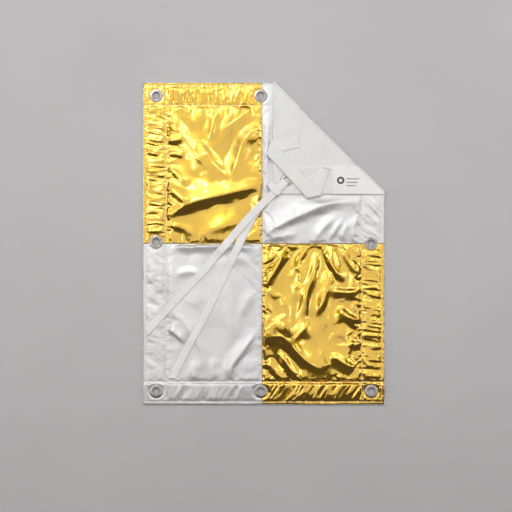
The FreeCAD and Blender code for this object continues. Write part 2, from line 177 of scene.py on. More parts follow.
class Shader:
    """A small helper that builds a Principled material out of linked nodes."""

    def __init__(self, name, **values):
        self.material = bpy.data.materials.new(name)
        self.material.use_nodes = True
        self.tree = self.material.node_tree
        self.bsdf = self.tree.nodes["Principled BSDF"]
        for key, value in values.items():
            self.bsdf.inputs[key.replace("_", " ")].default_value = value
        self.coordinates = self.node("ShaderNodeTexCoord").outputs["Object"]

    def node(self, kind, **settings):
        made = self.tree.nodes.new(kind)
        for key, value in settings.items():
            setattr(made, key, value)
        return made

    def link(self, output, socket):
        self.tree.links.new(output, socket)

    def mapping(self, turn=0.0, stretch=(1, 1, 1)):
        made = self.node("ShaderNodeMapping")
        made.inputs["Rotation"].default_value = (0, 0, math.radians(turn))
        made.inputs["Scale"].default_value = stretch
        self.link(self.coordinates, made.inputs["Vector"])
        return made.outputs["Vector"]

    def noise(self, size_mm, detail=2.0, turn=0.0, stretch=(1, 1, 1), roughness=0.5):
        made = self.node("ShaderNodeTexNoise")
        made.inputs["Scale"].default_value = 1 / (size_mm * MM)
        made.inputs["Detail"].default_value = detail
        made.inputs["Roughness"].default_value = roughness
        self.link(self.mapping(turn, stretch), made.inputs["Vector"])
        return made.outputs["Fac"]

    def wave(self, pitch_mm, turn=0.0, distortion=0.0):
        """Straight ribs at a pitch, running across the turned X direction."""
        made = self.node("ShaderNodeTexWave", bands_direction="X")
        made.inputs["Scale"].default_value = 2 * math.pi / 20 / (pitch_mm * MM)
        made.inputs["Distortion"].default_value = distortion
        self.link(self.mapping(turn), made.inputs["Vector"])
        return made.outputs["Fac"]

    def math(self, operation, first, second):
        made = self.node("ShaderNodeMath", operation=operation)
        for socket, value in zip(made.inputs, (first, second)):
            if isinstance(value, (int, float)):
                socket.default_value = value
            else:
                self.link(value, socket)
        return made.outputs["Value"]

    def ramp(self, factor, stops, socket):
        """Colours (or greys) picked by a factor, sent to a socket of the shader."""
        made = self.node("ShaderNodeValToRGB")
        elements = made.color_ramp.elements
        while len(elements) < len(stops):
            elements.new(0.5)
        for element, (position, colour) in zip(elements, stops):
            element.position = position
            element.color = (*colour, 1) if len(colour) == 3 else (*colour * 3, 1)
        self.link(factor, made.inputs["Fac"])
        self.link(made.outputs["Color"], self.bsdf.inputs[socket])

    def bump(self, layers):
        """Bumps on top of each other: (height, distance in mm, strength) for each."""
        normal = None
        for height, distance_mm, strength in layers:
            made = self.node("ShaderNodeBump")
            made.inputs["Distance"].default_value = distance_mm * MM
            made.inputs["Strength"].default_value = strength
            self.link(height, made.inputs["Height"])
            if normal is not None:
                self.link(normal, made.inputs["Normal"])
            normal = made.outputs["Normal"]
        self.link(normal, self.bsdf.inputs["Normal"])


def lame(name, metallic, dark, plain, light, roughness, coat_ior, knit_strength,
         crinkle_strength):
    """Foil-faced knit: a metal film under a clear coat, with small crinkles and rubbed streaks."""
    shader = Shader(name, Metallic=metallic, Coat_Weight=1.0, Coat_IOR=coat_ior,
                    Coat_Roughness=0.10)
    tone = shader.noise(38.0, detail=4.0)
    shader.ramp(tone, [(0.30, dark), (0.52, plain), (0.72, light)], "Base Color")
    rub = shader.noise(9.0, detail=5.0, stretch=(2.2, 0.5, 1))
    low, high = roughness
    shader.ramp(rub, [(0.32, (low,)), (0.70, (high,))], "Roughness")
    ribs = shader.math("MULTIPLY", shader.wave(0.9, 0, 1.0), shader.wave(1.1, 90, 1.0))
    crinkle = shader.noise(7.5, detail=5.0, roughness=0.6, stretch=(1.5, 0.8, 1))
    shader.bump([(crinkle, 0.5, crinkle_strength), (ribs, 0.10, knit_strength)])
    return shader.material


def woven(name, shade, pitch_mm, turn, roughness=0.88, bump_mm=0.16, sheen=0.25):
    """Matte woven cloth or webbing: crossing ribs, slubs, and a little uneven shade."""
    shader = Shader(name, Roughness=roughness, Sheen_Weight=sheen, Sheen_Roughness=0.4)
    warp = shader.wave(pitch_mm, turn, 0.6)
    weft = shader.wave(pitch_mm * 1.25, turn + 90, 0.6)
    weave = shader.math("MAXIMUM", warp, weft)
    slub = shader.noise(3.2, detail=3.0, turn=turn, stretch=(1, 5, 1))
    patch = shader.noise(26.0, detail=3.0)
    mix = shader.math("MULTIPLY", shader.math("ADD", weave, slub), 0.5)
    mix = shader.math("MULTIPLY", shader.math("ADD", mix, patch), 0.5)
    darker = tuple(channel * 0.90 for channel in shade)
    lighter = tuple(min(1.0, channel * 1.05) for channel in shade)
    shader.ramp(mix, [(0.28, darker), (0.62, lighter)], "Base Color")
    shader.bump([(patch, 0.5, 0.25), (slub, 0.12, 0.35), (weave, bump_mm, 0.6)])
    return shader.material


def plated_metal():
    """Bright nickel, finely rubbed, a little yellowed where it is not handled."""
    shader = Shader("nickel_plate", Metallic=1.0)
    cloud = shader.noise(5.0, detail=4.0)
    shader.ramp(cloud, [(0.35, (0.33, 0.29, 0.25)), (0.60, (0.46, 0.44, 0.42))], "Base Color")
    scratch = shader.noise(0.7, detail=4.0, turn=35, stretch=(1, 7, 1))
    shader.ramp(scratch, [(0.35, (0.12,)), (0.70, (0.26,))], "Roughness")
    shader.bump([(scratch, 0.03, 0.3)])
    return shader.material


def twisted_thread():
    shader = Shader("thread_white", Roughness=0.62, Sheen_Weight=0.3)
    twist = shader.wave(0.5, 45, 0.4)
    shader.ramp(twist, [(0.2, (0.66, 0.65, 0.62)), (0.8, (0.84, 0.83, 0.80))], "Base Color")
    shader.bump([(twist, 0.06, 0.5)])
    return shader.material


def printed_ink():
    shader = Shader("label_print", Roughness=0.55)
    grain = shader.noise(0.6, detail=3.0)
    shader.ramp(grain, [(0.35, (0.035, 0.035, 0.037)), (0.65, (0.075, 0.075, 0.08))], "Base Color")
    shader.bump([(grain, 0.03, 0.3)])
    return shader.material


def floor_paint():
    shader = Shader("floor_paint", Roughness=0.8)
    cloud = shader.noise(260.0, detail=3.0)
    shader.ramp(cloud, [(0.3, (0.55, 0.54, 0.555)), (0.7, (0.58, 0.57, 0.585))], "Base Color")
    shader.bump([(shader.noise(2.5), 0.05, 0.15)])
    return shader.material


def make_materials():
    return {
        "gold": lame("gold_lame", 1.0, (0.69, 0.40, 0.002), (0.75, 0.455, 0.003),
                     (0.80, 0.50, 0.006), (0.16, 0.27), 1.9, 0.14, 0.06),
        "silver": lame("silver_lame", 0.55, (0.70, 0.70, 0.71), (0.755, 0.755, 0.76),
                       (0.79, 0.79, 0.79), (0.36, 0.50), 1.3, 0.35, 0.07),
        "backing": woven("backing_cloth", (0.845, 0.845, 0.85), 0.8, 0),
        "webbing_x": woven("hem_webbing_along_x", (0.86, 0.86, 0.86), 1.6, 0, bump_mm=0.3),
        "webbing_y": woven("hem_webbing_along_y", (0.86, 0.86, 0.86), 1.6, 90, bump_mm=0.3),
        "loop": woven("loop_webbing", (0.88, 0.88, 0.86), 1.5, -47, bump_mm=0.3),
        "tape": woven("tie_twill", (0.92, 0.915, 0.90), 1.1, 10, bump_mm=0.2, sheen=0.35),
        "label": woven("label_cloth", (0.93, 0.93, 0.93), 0.45, 0, 0.7, 0.05, 0.1),
        "metal": plated_metal(),
        "thread": twisted_thread(),
        "ink": printed_ink(),
        "floor": floor_paint(),
    }


# ---------------------------------------------------------------- mesh helpers


def new_object(name, points, faces, material, smooth=True):
    """A mesh piece from points in millimetres."""
    mesh = bpy.data.meshes.new(name)
    mesh.from_pydata([tuple(np.asarray(point, float) * MM) for point in points], [], faces)
    mesh.materials.append(material)
    mesh.polygons.foreach_set("use_smooth", [smooth] * len(mesh.polygons))
    mesh.update()
    piece = bpy.data.objects.new(name, mesh)
    bpy.context.collection.objects.link(piece)
    return piece


def cells(shape):
    """The four corners' numbers of every cell of a grid."""
    index = np.arange(shape[0] * shape[1]).reshape(shape)
    return np.stack([index[:-1, :-1], index[:-1, 1:], index[1:, 1:], index[1:, :-1]], axis=-1)


def tube_faces(rings, count, base=0):
    """Faces that join rings of points, one after the other."""
    faces = []
    for ring in range(rings - 1):
        a, b = base + ring * count, base + (ring + 1) * count
        for step in range(count):
            after = (step + 1) % count
            faces.append((a + step, a + after, b + after, b + step))
    return faces


def apply_modifiers(piece):
    """Bake a piece's modifiers into its mesh."""
    graph = bpy.context.evaluated_depsgraph_get()
    mesh = bpy.data.meshes.new_from_object(piece.evaluated_get(graph))
    old = piece.data
    piece.modifiers.clear()
    piece.data = mesh
    bpy.data.meshes.remove(old)


def thicken(piece, thickness, rim_bevel=0.0):
    """Turn an open sheet into a closed one, its thickness going to the underside."""
    solid = piece.modifiers.new("thickness", "SOLIDIFY")
    solid.thickness = thickness * MM
    solid.offset = -1
    if rim_bevel:
        bevel = piece.modifiers.new("edge", "BEVEL")
        bevel.width = rim_bevel * MM
        bevel.segments = 2
        bevel.limit_method = "ANGLE"
    apply_modifiers(piece)


def cut_at_fold(piece, keep_corner):
    """Keep only one side of the corner's fold line."""
    mesh = bmesh.new()
    mesh.from_mesh(piece.data)
    normal = Vector((1, 1, 0)).normalized()
    edge = Vector((FOLD_SUM, 0, 0)) + normal * (FOLD_GAP if keep_corner else -FOLD_GAP)
    bmesh.ops.bisect_plane(
        mesh, geom=mesh.verts[:] + mesh.edges[:] + mesh.faces[:], dist=1e-6,
        plane_co=edge * MM, plane_no=normal,
        clear_outer=not keep_corner, clear_inner=keep_corner)
    mesh.to_mesh(piece.data)
    mesh.free()
    piece.data.polygons.foreach_set("use_smooth", [True] * len(piece.data.polygons))


def turn_over(piece):
    """Turn a piece of the corner over the fold line, on to the front."""
    pivot = Matrix.Translation(FOLD_POINT * MM)
    piece.data.transform(pivot @ FOLD_TURN @ pivot.inverted())
    piece.data.update()


def noise_2d(u, v, seed):
    """Smooth value noise from -1 to 1, the same on every run."""
    lattice = np.random.RandomState(seed).uniform(-1, 1, (64, 64))
    u0, v0 = np.floor(u).astype(int), np.floor(v).astype(int)
    fu, fv = u - u0, v - v0
    fu, fv = fu * fu * (3 - 2 * fu), fv * fv * (3 - 2 * fv)
    a = lattice[u0 % 64, v0 % 64]
    b = lattice[(u0 + 1) % 64, v0 % 64]
    c = lattice[u0 % 64, (v0 + 1) % 64]
    d = lattice[(u0 + 1) % 64, (v0 + 1) % 64]
    return (a * (1 - fu) + b * fu) * (1 - fv) + (c * (1 - fu) + d * fu) * fv


def sideways(along):
    """The level direction to the left of another one, of the same length."""
    return np.array([-along[1], along[0], 0.0])


def smooth_step(value, low, high):
    t = np.clip((value - low) / (high - low), 0, 1)
    return t * t * (3 - 2 * t)


def curve_through(points, count):
    """Points along a smooth curve that passes through the given ones."""
    points = np.asarray(points, float)
    padded = np.vstack([2 * points[0] - points[1], points, 2 * points[-1] - points[-2]])
    found = []
    for index in range(len(points) - 1):
        p0, p1, p2, p3 = padded[index:index + 4]
        for t in np.linspace(0, 1, count, endpoint=False):
            found.append(0.5 * (2 * p1 + (p2 - p0) * t + (2 * p0 - 5 * p1 + 4 * p2 - p3) * t ** 2
                                + (3 * p1 - p0 - 3 * p2 + p3) * t ** 3))
    return np.array(found + [points[-1]])


# ---------------------------------------------------------------- the cloth of the front
# Folds: a crest line, its rise, and how far it spreads to the left and to the
# right of the line as one walks along it. A short spread makes the steep side.

FOLDS = [
    # upper left, gold: the long roll above the seam, steep on its lower side
    ([(-180, 46), (-141, 76), (-71, 96), (5, 116)], 9.0, 70, 22),
    ([(-184, 226), (-160, 212), (-126, 167), (-92, 127)], 5.6, 24, 34),
    ([(-124, 196), (-99, 158), (-68, 121)], 4.2, 16, 20),
    ([(-5, 224), (-36, 198), (-51, 160), (-66, 121)], 6.0, 36, 22),
    ([(-88, 258), (-94, 228), (-102, 196)], 3.4, 13, 17),
    ([(-22, 256), (-50, 234), (-82, 212)], 3.4, 22, 15),
    ([(-182, 192), (-166, 196), (-150, 200)], 2.4, 10, 8),
    ([(-182, 172), (-165, 170), (-152, 164)], 2.4, 10, 8),
    ([(-182, 142), (-160, 130), (-143, 110)], 3.2, 12, 10),
    ([(-182, 108), (-160, 92), (-141, 76)], 4.2, 16, 12),
    ([(-178, 38), (-150, 30), (-128, 14)], 3.0, 18, 14),
    ([(-124, 16), (-86, 30), (-50, 38), (-14, 54)], 3.0, 34, 22),
    ([(-12, 96), (-11, 60), (-13, 26)], 2.0, 9, 12),
    # upper right, silver: the dark sweep below the flap, and rays from the right hem
    ([(1, 14), (26, 33), (64, 53), (126, 77), (180, 82)], 6.2, 34, 18),
    ([(12, 3), (30, 13), (66, 19)], 3.0, 16, 10),
    ([(96, 8), (112, 32), (134, 52)], 3.2, 14, 14),
    ([(124, 6), (136, 28), (152, 48)], 2.6, 10, 12),
    ([(146, 4), (152, 24), (166, 44)], 2.8, 9, 11),
    ([(168, 6), (170, 30), (178, 56)], 2.4, 9, 9),
    ([(8, 250), (11, 200), (9, 150), (12, 100)], 3.0, 12, 9),
    ([(2, 128), (12, 70), (24, 40)], 2.2, 14, 12),
    # lower left, silver: a low roll under the seam and soft, wide dents
    ([(-176, -6), (-140, -8), (-80, -7), (-8, -5)], 4.4, 5, 15),
    ([(-168, -60), (-140, -54), (-118, -60)], 2.4, 12, 14),
    ([(-181, -158), (-166, -170), (-147, -187)], 3.6, 22, 8),
    ([(-176, -120), (-150, -150), (-122, -190), (-112, -240)], 2.6, 26, 18),
    ([(-10, -158), (-44, -202), (-64, -232), (-60, -258)], 4.2, 14, 18),
    ([(-20, -36), (-50, -30), (-66, -40)], 2.0, 14, 14),
    ([(-60, -80), (-62, -130), (-56, -180)], 2.0, 22, 22),
    ([(-14, -90), (-34, -110), (-40, -140)], 1.8, 16, 16),
    ([(-92, -210), (-96, -234), (-92, -258)], 2.0, 14, 12),
    ([(-130, -218), (-134, -240), (-130, -258)], 2.0, 14, 10),
    # lower right, gold: folds hanging from the seam, pockets and the deep hollows below
    ([(40, -3), (26, -40), (4, -84)], 5.4, 14, 22),
    ([(74, -3), (66, -50), (72, -90)], 3.0, 14, 14),
    ([(104, -3), (92, -60), (80, -100), (86, -140)], 3.8, 16, 16),
    ([(122, -3), (124, -60), (112, -110), (98, -142)], 4.6, 12, 22),
    ([(126, -4), (132, -44), (154, -72)], 5.2, 22, 12),
    ([(146, -4), (160, -34), (180, -60)], 3.8, 14, 11),
    ([(126, -90), (152, -92), (181, -90)], 4.2, 9, 16),
    ([(140, -122), (156, -136), (181, -148)], 5.0, 10, 20),
    ([(20, -150), (32, -168), (54, -178), (76, -160), (94, -146)], 5.6, 17, 34),
    ([(-1, -190), (16, -176), (40, -176), (60, -198), (92, -226), (124, -244)], 8.6, 30, 20),
    ([(26, -206), (40, -220), (52, -238), (66, -256)], 6.4, 10, 12),
    ([(2, -224), (18, -236), (32, -256)], 5.4, 12, 10),
    ([(106, -192), (112, -222), (122, -234)], 3.6, 10, 12),
    ([(126, -208), (146, -222), (181, -240)], 5.6, 12, 17),
    ([(160, -184), (172, -190), (182, -186)], 3.4, 8, 12),
]

# The share of a fold that its end takes to fade, the shape of its crest, and the height of gathers
FOLD_END = 0.32
CREST_SHARPNESS = 1.75
CREST_ROUNDING = 2.6
PUCKER_RISE = 0.95
BOTTOM_RISE = 3.2
# How far outside the flap its weight is felt, and how far from a row or a grommet the cloth is free
FLAP_APPROACH = 18.0
FREE_FROM_ROW = 8.0
FREE_FROM_GROMMET = 22.0


def crest(x, y, points, rise, left_reach, right_reach, seed):
    """Height of one fold at every place of the grid; its foot wanders a little."""
    uneven = 1 + 0.2 * noise_2d(x / 18, y / 18, seed)
    line = curve_through(points, 8)
    share = np.linspace(0, 1, len(line))
    best = np.full(x.shape, 1e9)
    height = np.zeros(x.shape)
    for index in range(len(line) - 1):
        start, along = line[index], line[index + 1] - line[index]
        length = math.hypot(*along)
        t = np.clip(((x - start[0]) * along[0] + (y - start[1]) * along[1]) / length ** 2, 0, 1)
        dx, dy = x - start[0] - t * along[0], y - start[1] - t * along[1]
        distance = np.hypot(dx, dy)
        rounded = np.hypot(distance, CREST_ROUNDING) - CREST_ROUNDING
        on_left = along[0] * dy - along[1] * dx > 0
        reach = np.where(on_left, left_reach, right_reach)
        place = share[index] + t * (share[index + 1] - share[index])
        ends = smooth_step(np.minimum(place, 1 - place), -0.06, FOLD_END)
        fall = np.clip(1 - rounded / (reach * uneven), 0, 1)
        value = rise * ends * fall ** CREST_SHARPNESS
        height = np.where(distance < best, value, height)
        best = np.minimum(best, distance)
    return height


def grid_lines(knots, step):
    """Grid places with a line on every knot, about a step apart."""
    lines = [knots[0]]
    for low, high in zip(knots, knots[1:]):
        count = max(1, round((high - low) / step))
        lines.extend(np.linspace(low, high, count + 1)[1:])
    return np.array(lines)


def mirrored_knots(half, seam, face_half):
    rows = [face_half, half - OUTER_ROW, half - INNER_ROW]
    return [-value for value in rows] + [seam] + rows[::-1]


def covered_by_flap(x, y):
    """1 under the folded corner, falling gently to 0 outside it."""
    inside = np.minimum(x - TIP[0], y - TIP[1])
    return smooth_step(inside, -FLAP_APPROACH, 2.0)


def row_distance(x, y):
    """Distance to the nearest seam or row of stitches, which hold the cloth down."""
    edges_x = [HALF_W - OUTER_ROW, HALF_W - INNER_ROW]
    edges_y = [HALF_H - OUTER_ROW, HALF_H - INNER_ROW]
    gaps = [np.abs(np.abs(x) - edge) for edge in edges_x]
    gaps += [np.abs(np.abs(y) - edge) for edge in edges_y]
    gaps += [np.abs(x - SEAM_X), np.abs(y - SEAM_Y)]
    return np.minimum.reduce(gaps)


def grommet_distance(x, y):
    return np.minimum.reduce([np.hypot(x - gx, y - gy) for gx, gy in GROMMETS.values()])


def hold_down(x, y):
    """0 at seams, rows and grommets, rising to 1 where the cloth is free to lift."""
    hold = smooth_step(row_distance(x, y), 0.0, FREE_FROM_ROW)
    return hold * smooth_step(grommet_distance(x, y), 12.5, FREE_FROM_GROMMET)


SIM_SCALE = 10.0
SIM_FRAMES = 24
SIM_FLOOR_DROP = 0.35
SIM_SHIFT_CAP = 3.0
HELD_AT_EDGE = 0.3
HELD_AT_GROMMET = 13.5


def relax_cloth(x, y, z):
    """Cloth simulation: the sheet grows a little between its pinned seams, and buckles."""
    start = np.stack([x, y, z], axis=-1)
    points = start.reshape(-1, 3) * MM * SIM_SCALE
    mesh = bpy.data.meshes.new("sheet_in_simulation")
    mesh.from_pydata(points.tolist(), [], cells(x.shape).reshape(-1, 4).tolist())
    piece = bpy.data.objects.new("sheet_in_simulation", mesh)
    bpy.context.collection.objects.link(piece)
    held = (row_distance(x, y) < HELD_AT_EDGE) | (grommet_distance(x, y) < HELD_AT_GROMMET)
    held |= np.abs(x) > FACE_HALF_W - HELD_AT_EDGE
    held |= np.abs(y) > FACE_HALF_H - HELD_AT_EDGE
    group = piece.vertex_groups.new(name="held")
    group.add(np.nonzero(held.reshape(-1))[0].tolist(), 1.0, "REPLACE")
    table = bpy.data.objects.new("table_in_simulation", bpy.data.meshes.new("table"))
    reach, level = 4.0, (FACE_TOP - SIM_FLOOR_DROP) * MM * SIM_SCALE
    table.data.from_pydata(
        [(-reach, -reach, level), (reach, -reach, level), (reach, reach, level),
         (-reach, reach, level)], [], [(0, 1, 2, 3)])
    bpy.context.collection.objects.link(table)
    table.modifiers.new("collision", "COLLISION")
    table.collision.thickness_outer = 0.001
    cloth = piece.modifiers.new("cloth", "CLOTH")
    settings = cloth.settings
    settings.vertex_group_mass = "held"
    settings.quality = 6
    settings.mass = 0.25
    settings.tension_stiffness = 18
    settings.compression_stiffness = 18
    settings.shear_stiffness = 6
    settings.bending_stiffness = 0.35
    settings.shrink_min = -0.045
    settings.effector_weights.gravity = 0.02
    cloth.collision_settings.distance_min = 0.001
    cloth.collision_settings.use_self_collision = False
    scene = bpy.context.scene
    cloth.point_cache.frame_start, cloth.point_cache.frame_end = 1, SIM_FRAMES
    for number in range(1, SIM_FRAMES + 1):
        scene.frame_set(number)
    graph = bpy.context.evaluated_depsgraph_get()
    relaxed = piece.evaluated_get(graph).data
    found = np.empty(len(relaxed.vertices) * 3)
    relaxed.vertices.foreach_get("co", found)
    scene.frame_set(1)
    for item in (piece, table):
        bpy.data.objects.remove(item)
    moved = found.reshape(start.shape) / (MM * SIM_SCALE)
    shift = np.clip(moved - start, -SIM_SHIFT_CAP, SIM_SHIFT_CAP)
    return x + shift[..., 0], y + shift[..., 1], z + shift[..., 2]


def halve_step(values):
    """Twice as fine along the first axis, on a smooth curve through the old values."""
    padded = np.concatenate([2 * values[:1] - values[1:2], values, 2 * values[-1:] - values[-2:-1]])
    middle = (9 * (padded[1:-2] + padded[2:-1]) - padded[:-3] - padded[3:]) / 16
    fine = np.empty((2 * len(values) - 1, *values.shape[1:]))
    fine[0::2] = values
    fine[1::2] = middle
    return fine


def finer(values):
    return np.swapaxes(halve_step(np.swapaxes(halve_step(values), 0, 1)), 0, 1)


def panel_character(x, y, of_upper_left, of_upper_right, of_lower_left, of_lower_right):
    """One value for each of the four panels."""
    upper = np.where(x < SEAM_X, of_upper_left, of_upper_right)
    lower = np.where(x < SEAM_X, of_lower_left, of_lower_right)
    return np.where(y > SEAM_Y, upper, lower)


def gathers(along, across, pitch, lean, seed, sharp):
    """Ridges that stand across a row: sharp foil creases, or soft swellings."""
    waves = noise_2d((along + lean * across) / pitch, across / 30, seed)
    fine = noise_2d((along + lean * across) / (pitch * 0.45), across / 22, seed + 1)
    if sharp:
        return 0.8 * (1 - 2.4 * np.abs(waves)) + 0.35 * (1 - 2 * np.abs(fine))
    return 1.1 * waves + 0.3 * fine


def puckers(x, y):
    """Fine gathers that stand across each row of stitches and die out away from it."""
    drift = 4.0 * noise_2d(x / 40, y / 40, 5)
    in_end_band = np.abs(y) > HALF_H - INNER_ROW
    in_side_band = (np.abs(x) > HALF_W - INNER_ROW) & ~in_end_band
    sideways = y + drift
    endways = x + drift
    side = panel_character(
        x, y, gathers(sideways, x, 7.0, 0.12, 11, True), gathers(sideways, x, 6.5, 0.9, 21, False),
        gathers(sideways, x, 15.0, 0.8, 23, False), gathers(sideways, x, 7.5, 0.1, 25, True))
    ends = panel_character(
        x, y, gathers(endways, y, 5.2, 0.1, 13, True), gathers(endways, y, 5.0, 0.2, 27, False),
        gathers(endways, y, 9.0, -0.6, 29, False), gathers(endways, y, 7.0, -0.6, 33, True))
    height = np.where(in_side_band, side, 0) + np.where(in_end_band, ends, 0)
    inner = ~in_side_band & ~in_end_band
    to_side_row = np.abs(np.abs(x) - (HALF_W - INNER_ROW))
    to_end_row = np.abs(np.abs(y) - (HALF_H - INNER_ROW))
    height += np.where(inner, np.exp(-to_side_row / 11), 0) * side * 0.9
    height += np.where(inner, np.exp(-to_end_row / 9), 0) * ends * 0.9
    height += np.where(inner, np.exp(-np.abs(y - SEAM_Y) / 8), 0) * ends * 0.7
    height += np.where(inner, np.exp(-np.abs(x - SEAM_X) / 5), 0) * side * 0.3
    edge = (np.abs(x) > HALF_W - OUTER_ROW) | (np.abs(y) > HALF_H - OUTER_ROW)
    crimp = noise_2d(x / 2.6, y / 2.6, 19) * 0.35
    return np.where(edge, crimp + 0.3 * height, height)


def bottom_slope(y):
    """The bottom band stands up beside its inner row and slopes down to the edge."""
    share = np.clip((y + HALF_H - OUTER_ROW) / (INNER_ROW - OUTER_ROW), 0, 1)
    return BOTTOM_RISE * share * (1 - smooth_step(share, 0.84, 1))


def stitch_dimples(x, y):
    """The cloth is pulled down where a needle went in, all along the rows."""
    depth = np.zeros(x.shape)
    for values, along, half in ((y, x, HALF_H), (x, y, HALF_W)):
        for inset in (OUTER_ROW, INNER_ROW):
            gap = np.abs(np.abs(values) - (half - inset))
            pull = np.exp(-(gap / 1.6) ** 2)
            depth += pull * (0.22 + 0.14 * np.cos(2 * math.pi * along / STITCH_PITCH))
    return depth


# The simulation's share of the height in the hem bands, and how far the flap presses the folds down
BAND_SHARE = 0.16
PRESSED_UNDER_FLAP = 0.88
PRESSED_IN_FLAP = 0.75
DEEPEST_DIP = 0.45


def make_cloth():
    """The whole front as one surface, made of guided folds, simulation and fine gathers."""
    x_lines = grid_lines(mirrored_knots(HALF_W, SEAM_X, FACE_HALF_W), GRID_STEP)
    y_lines = grid_lines(mirrored_knots(HALF_H, SEAM_Y, FACE_HALF_H), GRID_STEP)
    x, y = np.meshgrid(x_lines, y_lines)
    height = np.zeros(x.shape)
    for seed, (points, rise, left_reach, right_reach) in enumerate(FOLDS):
        height = height + crest(x, y, points, rise, left_reach, right_reach, 100 + seed)
    swell = panel_character(
        x, y, 1.5 * noise_2d((x + y) / 64, (x - y) / 40, 3), 1.2 * noise_2d(x / 34, y / 42, 3),
        1.6 * noise_2d(x / 30, y / 60, 8), 3.2 * noise_2d(x / 19, y / 62, 9))
    swell += panel_character(x, y, 0.1, 0.3, 0.3, 0.4) * noise_2d(x / 15, y / 19, 4)
    clearance = panel_character(x, y, 1.0, 0.5, 0.6, 1.4)
    z = FACE_TOP + (height + np.maximum(swell + clearance, 0)) * hold_down(x, y)
    moved = relax_cloth(x, y, z)
    flat_x, flat_y = finer(x), finer(y)
    moved_x, moved_y, moved_z = (finer(values) for values in moved)
    strength = panel_character(flat_x, flat_y, 1.2, 0.9, 0.75, 1.25) * PUCKER_RISE
    fine = puckers(flat_x, flat_y) * strength + bottom_slope(flat_y)
    fine *= 0.25 + 0.75 * smooth_step(row_distance(flat_x, flat_y), 0, 5)
    fine *= smooth_step(grommet_distance(flat_x, flat_y), 12.6, 17)
    in_bands = (np.abs(flat_x) > HALF_W - INNER_ROW) | (np.abs(flat_y) > HALF_H - INNER_ROW)
    near_rows = np.exp(-row_distance(flat_x, flat_y) / 13)
    in_panels = panel_character(flat_x, flat_y, 0.10 + 0.45 * near_rows, 0.22, 0.20, 0.60)
    share = np.where(in_bands, BAND_SHARE, in_panels)
    guided = np.where(in_bands, 0.5, 1.0) * (finer(z) - FACE_TOP)
    lift = guided + share * (moved_z - FACE_TOP - guided)
    lift += fine - stitch_dimples(flat_x, flat_y)
    lift *= 1 - PRESSED_UNDER_FLAP * covered_by_flap(flat_x, flat_y)
    on_corner = smooth_step(flat_x + flat_y, FOLD_SUM - 4, FOLD_SUM + 4)
    lift *= 1 - PRESSED_IN_FLAP * on_corner
    lift = np.maximum(lift, -DEEPEST_DIP)
    return {"flat_x": flat_x, "flat_y": flat_y, "x": moved_x, "y": moved_y, "z": FACE_TOP + lift}


def cloth_height(cloth, x, y):
    """Height of the front surface near a place, the highest within a few millimetres."""
    column = np.searchsorted(cloth["flat_x"][0], x)
    row = np.searchsorted(cloth["flat_y"][:, 0], y)
    rows = slice(max(row - 3, 0), row + 4)
    columns = slice(max(column - 3, 0), column + 4)
    return float(cloth["z"][rows, columns].max())


PANEL_THICKNESS = 0.45
HOLE_IN_CLOTH = 9.2
GRID_SLACK = 0.01


def grid_piece(name, flat_x, flat_y, points, hole, material):
    """A piece on a grid, without the cells that lie over a grommet's hole."""
    middle_x = (flat_x[:-1, :-1] + flat_x[1:, 1:]) / 2
    middle_y = (flat_y[:-1, :-1] + flat_y[1:, 1:]) / 2
    kept = grommet_distance(middle_x, middle_y) > hole
    faces = cells(flat_x.shape)[kept].tolist()
    piece = new_object(name, points.reshape(-1, 3), faces, material)
    mesh = bmesh.new()
    mesh.from_mesh(piece.data)
    loose = [vertex for vertex in mesh.verts if not vertex.link_faces]
    bmesh.ops.delete(mesh, geom=loose, context="VERTS")
    mesh.to_mesh(piece.data)
    mesh.free()
    return piece


def places_within(lines, span):
    """The numbers of the grid lines from one end of a span to the other."""
    return np.nonzero((lines >= span[0] - GRID_SLACK) & (lines <= span[1] + GRID_SLACK))[0]


def panel(cloth, name, x_range, y_range, material):
    """One coloured panel of the front, cut out of the whole surface."""
    flat_x, flat_y = cloth["flat_x"], cloth["flat_y"]
    columns = places_within(flat_x[0], x_range)
    rows = places_within(flat_y[:, 0], y_range)
    block = np.ix_(rows, columns)
    points = np.stack([cloth["x"][block], cloth["y"][block], cloth["z"][block]], axis=-1)
    return grid_piece(name, flat_x[block], flat_y[block], points, HOLE_IN_CLOTH, material)


def settle(piece, body, slot, *nodes):
    """Attach a piece to the body it rides on (a piece on the crease only has its place baked in), and hide the
    solids it stands for. The slot is not used.
    """
    if body == "crease":
        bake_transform(piece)
    else:
        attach(piece, body)
    if nodes:
        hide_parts(*nodes)


def shape_layer(piece, keep_corner, thickness, rim_bevel=0.0):
    """Thicken a layer. One that meets the corner's fold is cut there, and the corner turned over."""
    if keep_corner is not None:
        cut_at_fold(piece, keep_corner)
    thicken(piece, thickness, rim_bevel)
    if keep_corner:
        turn_over(piece)


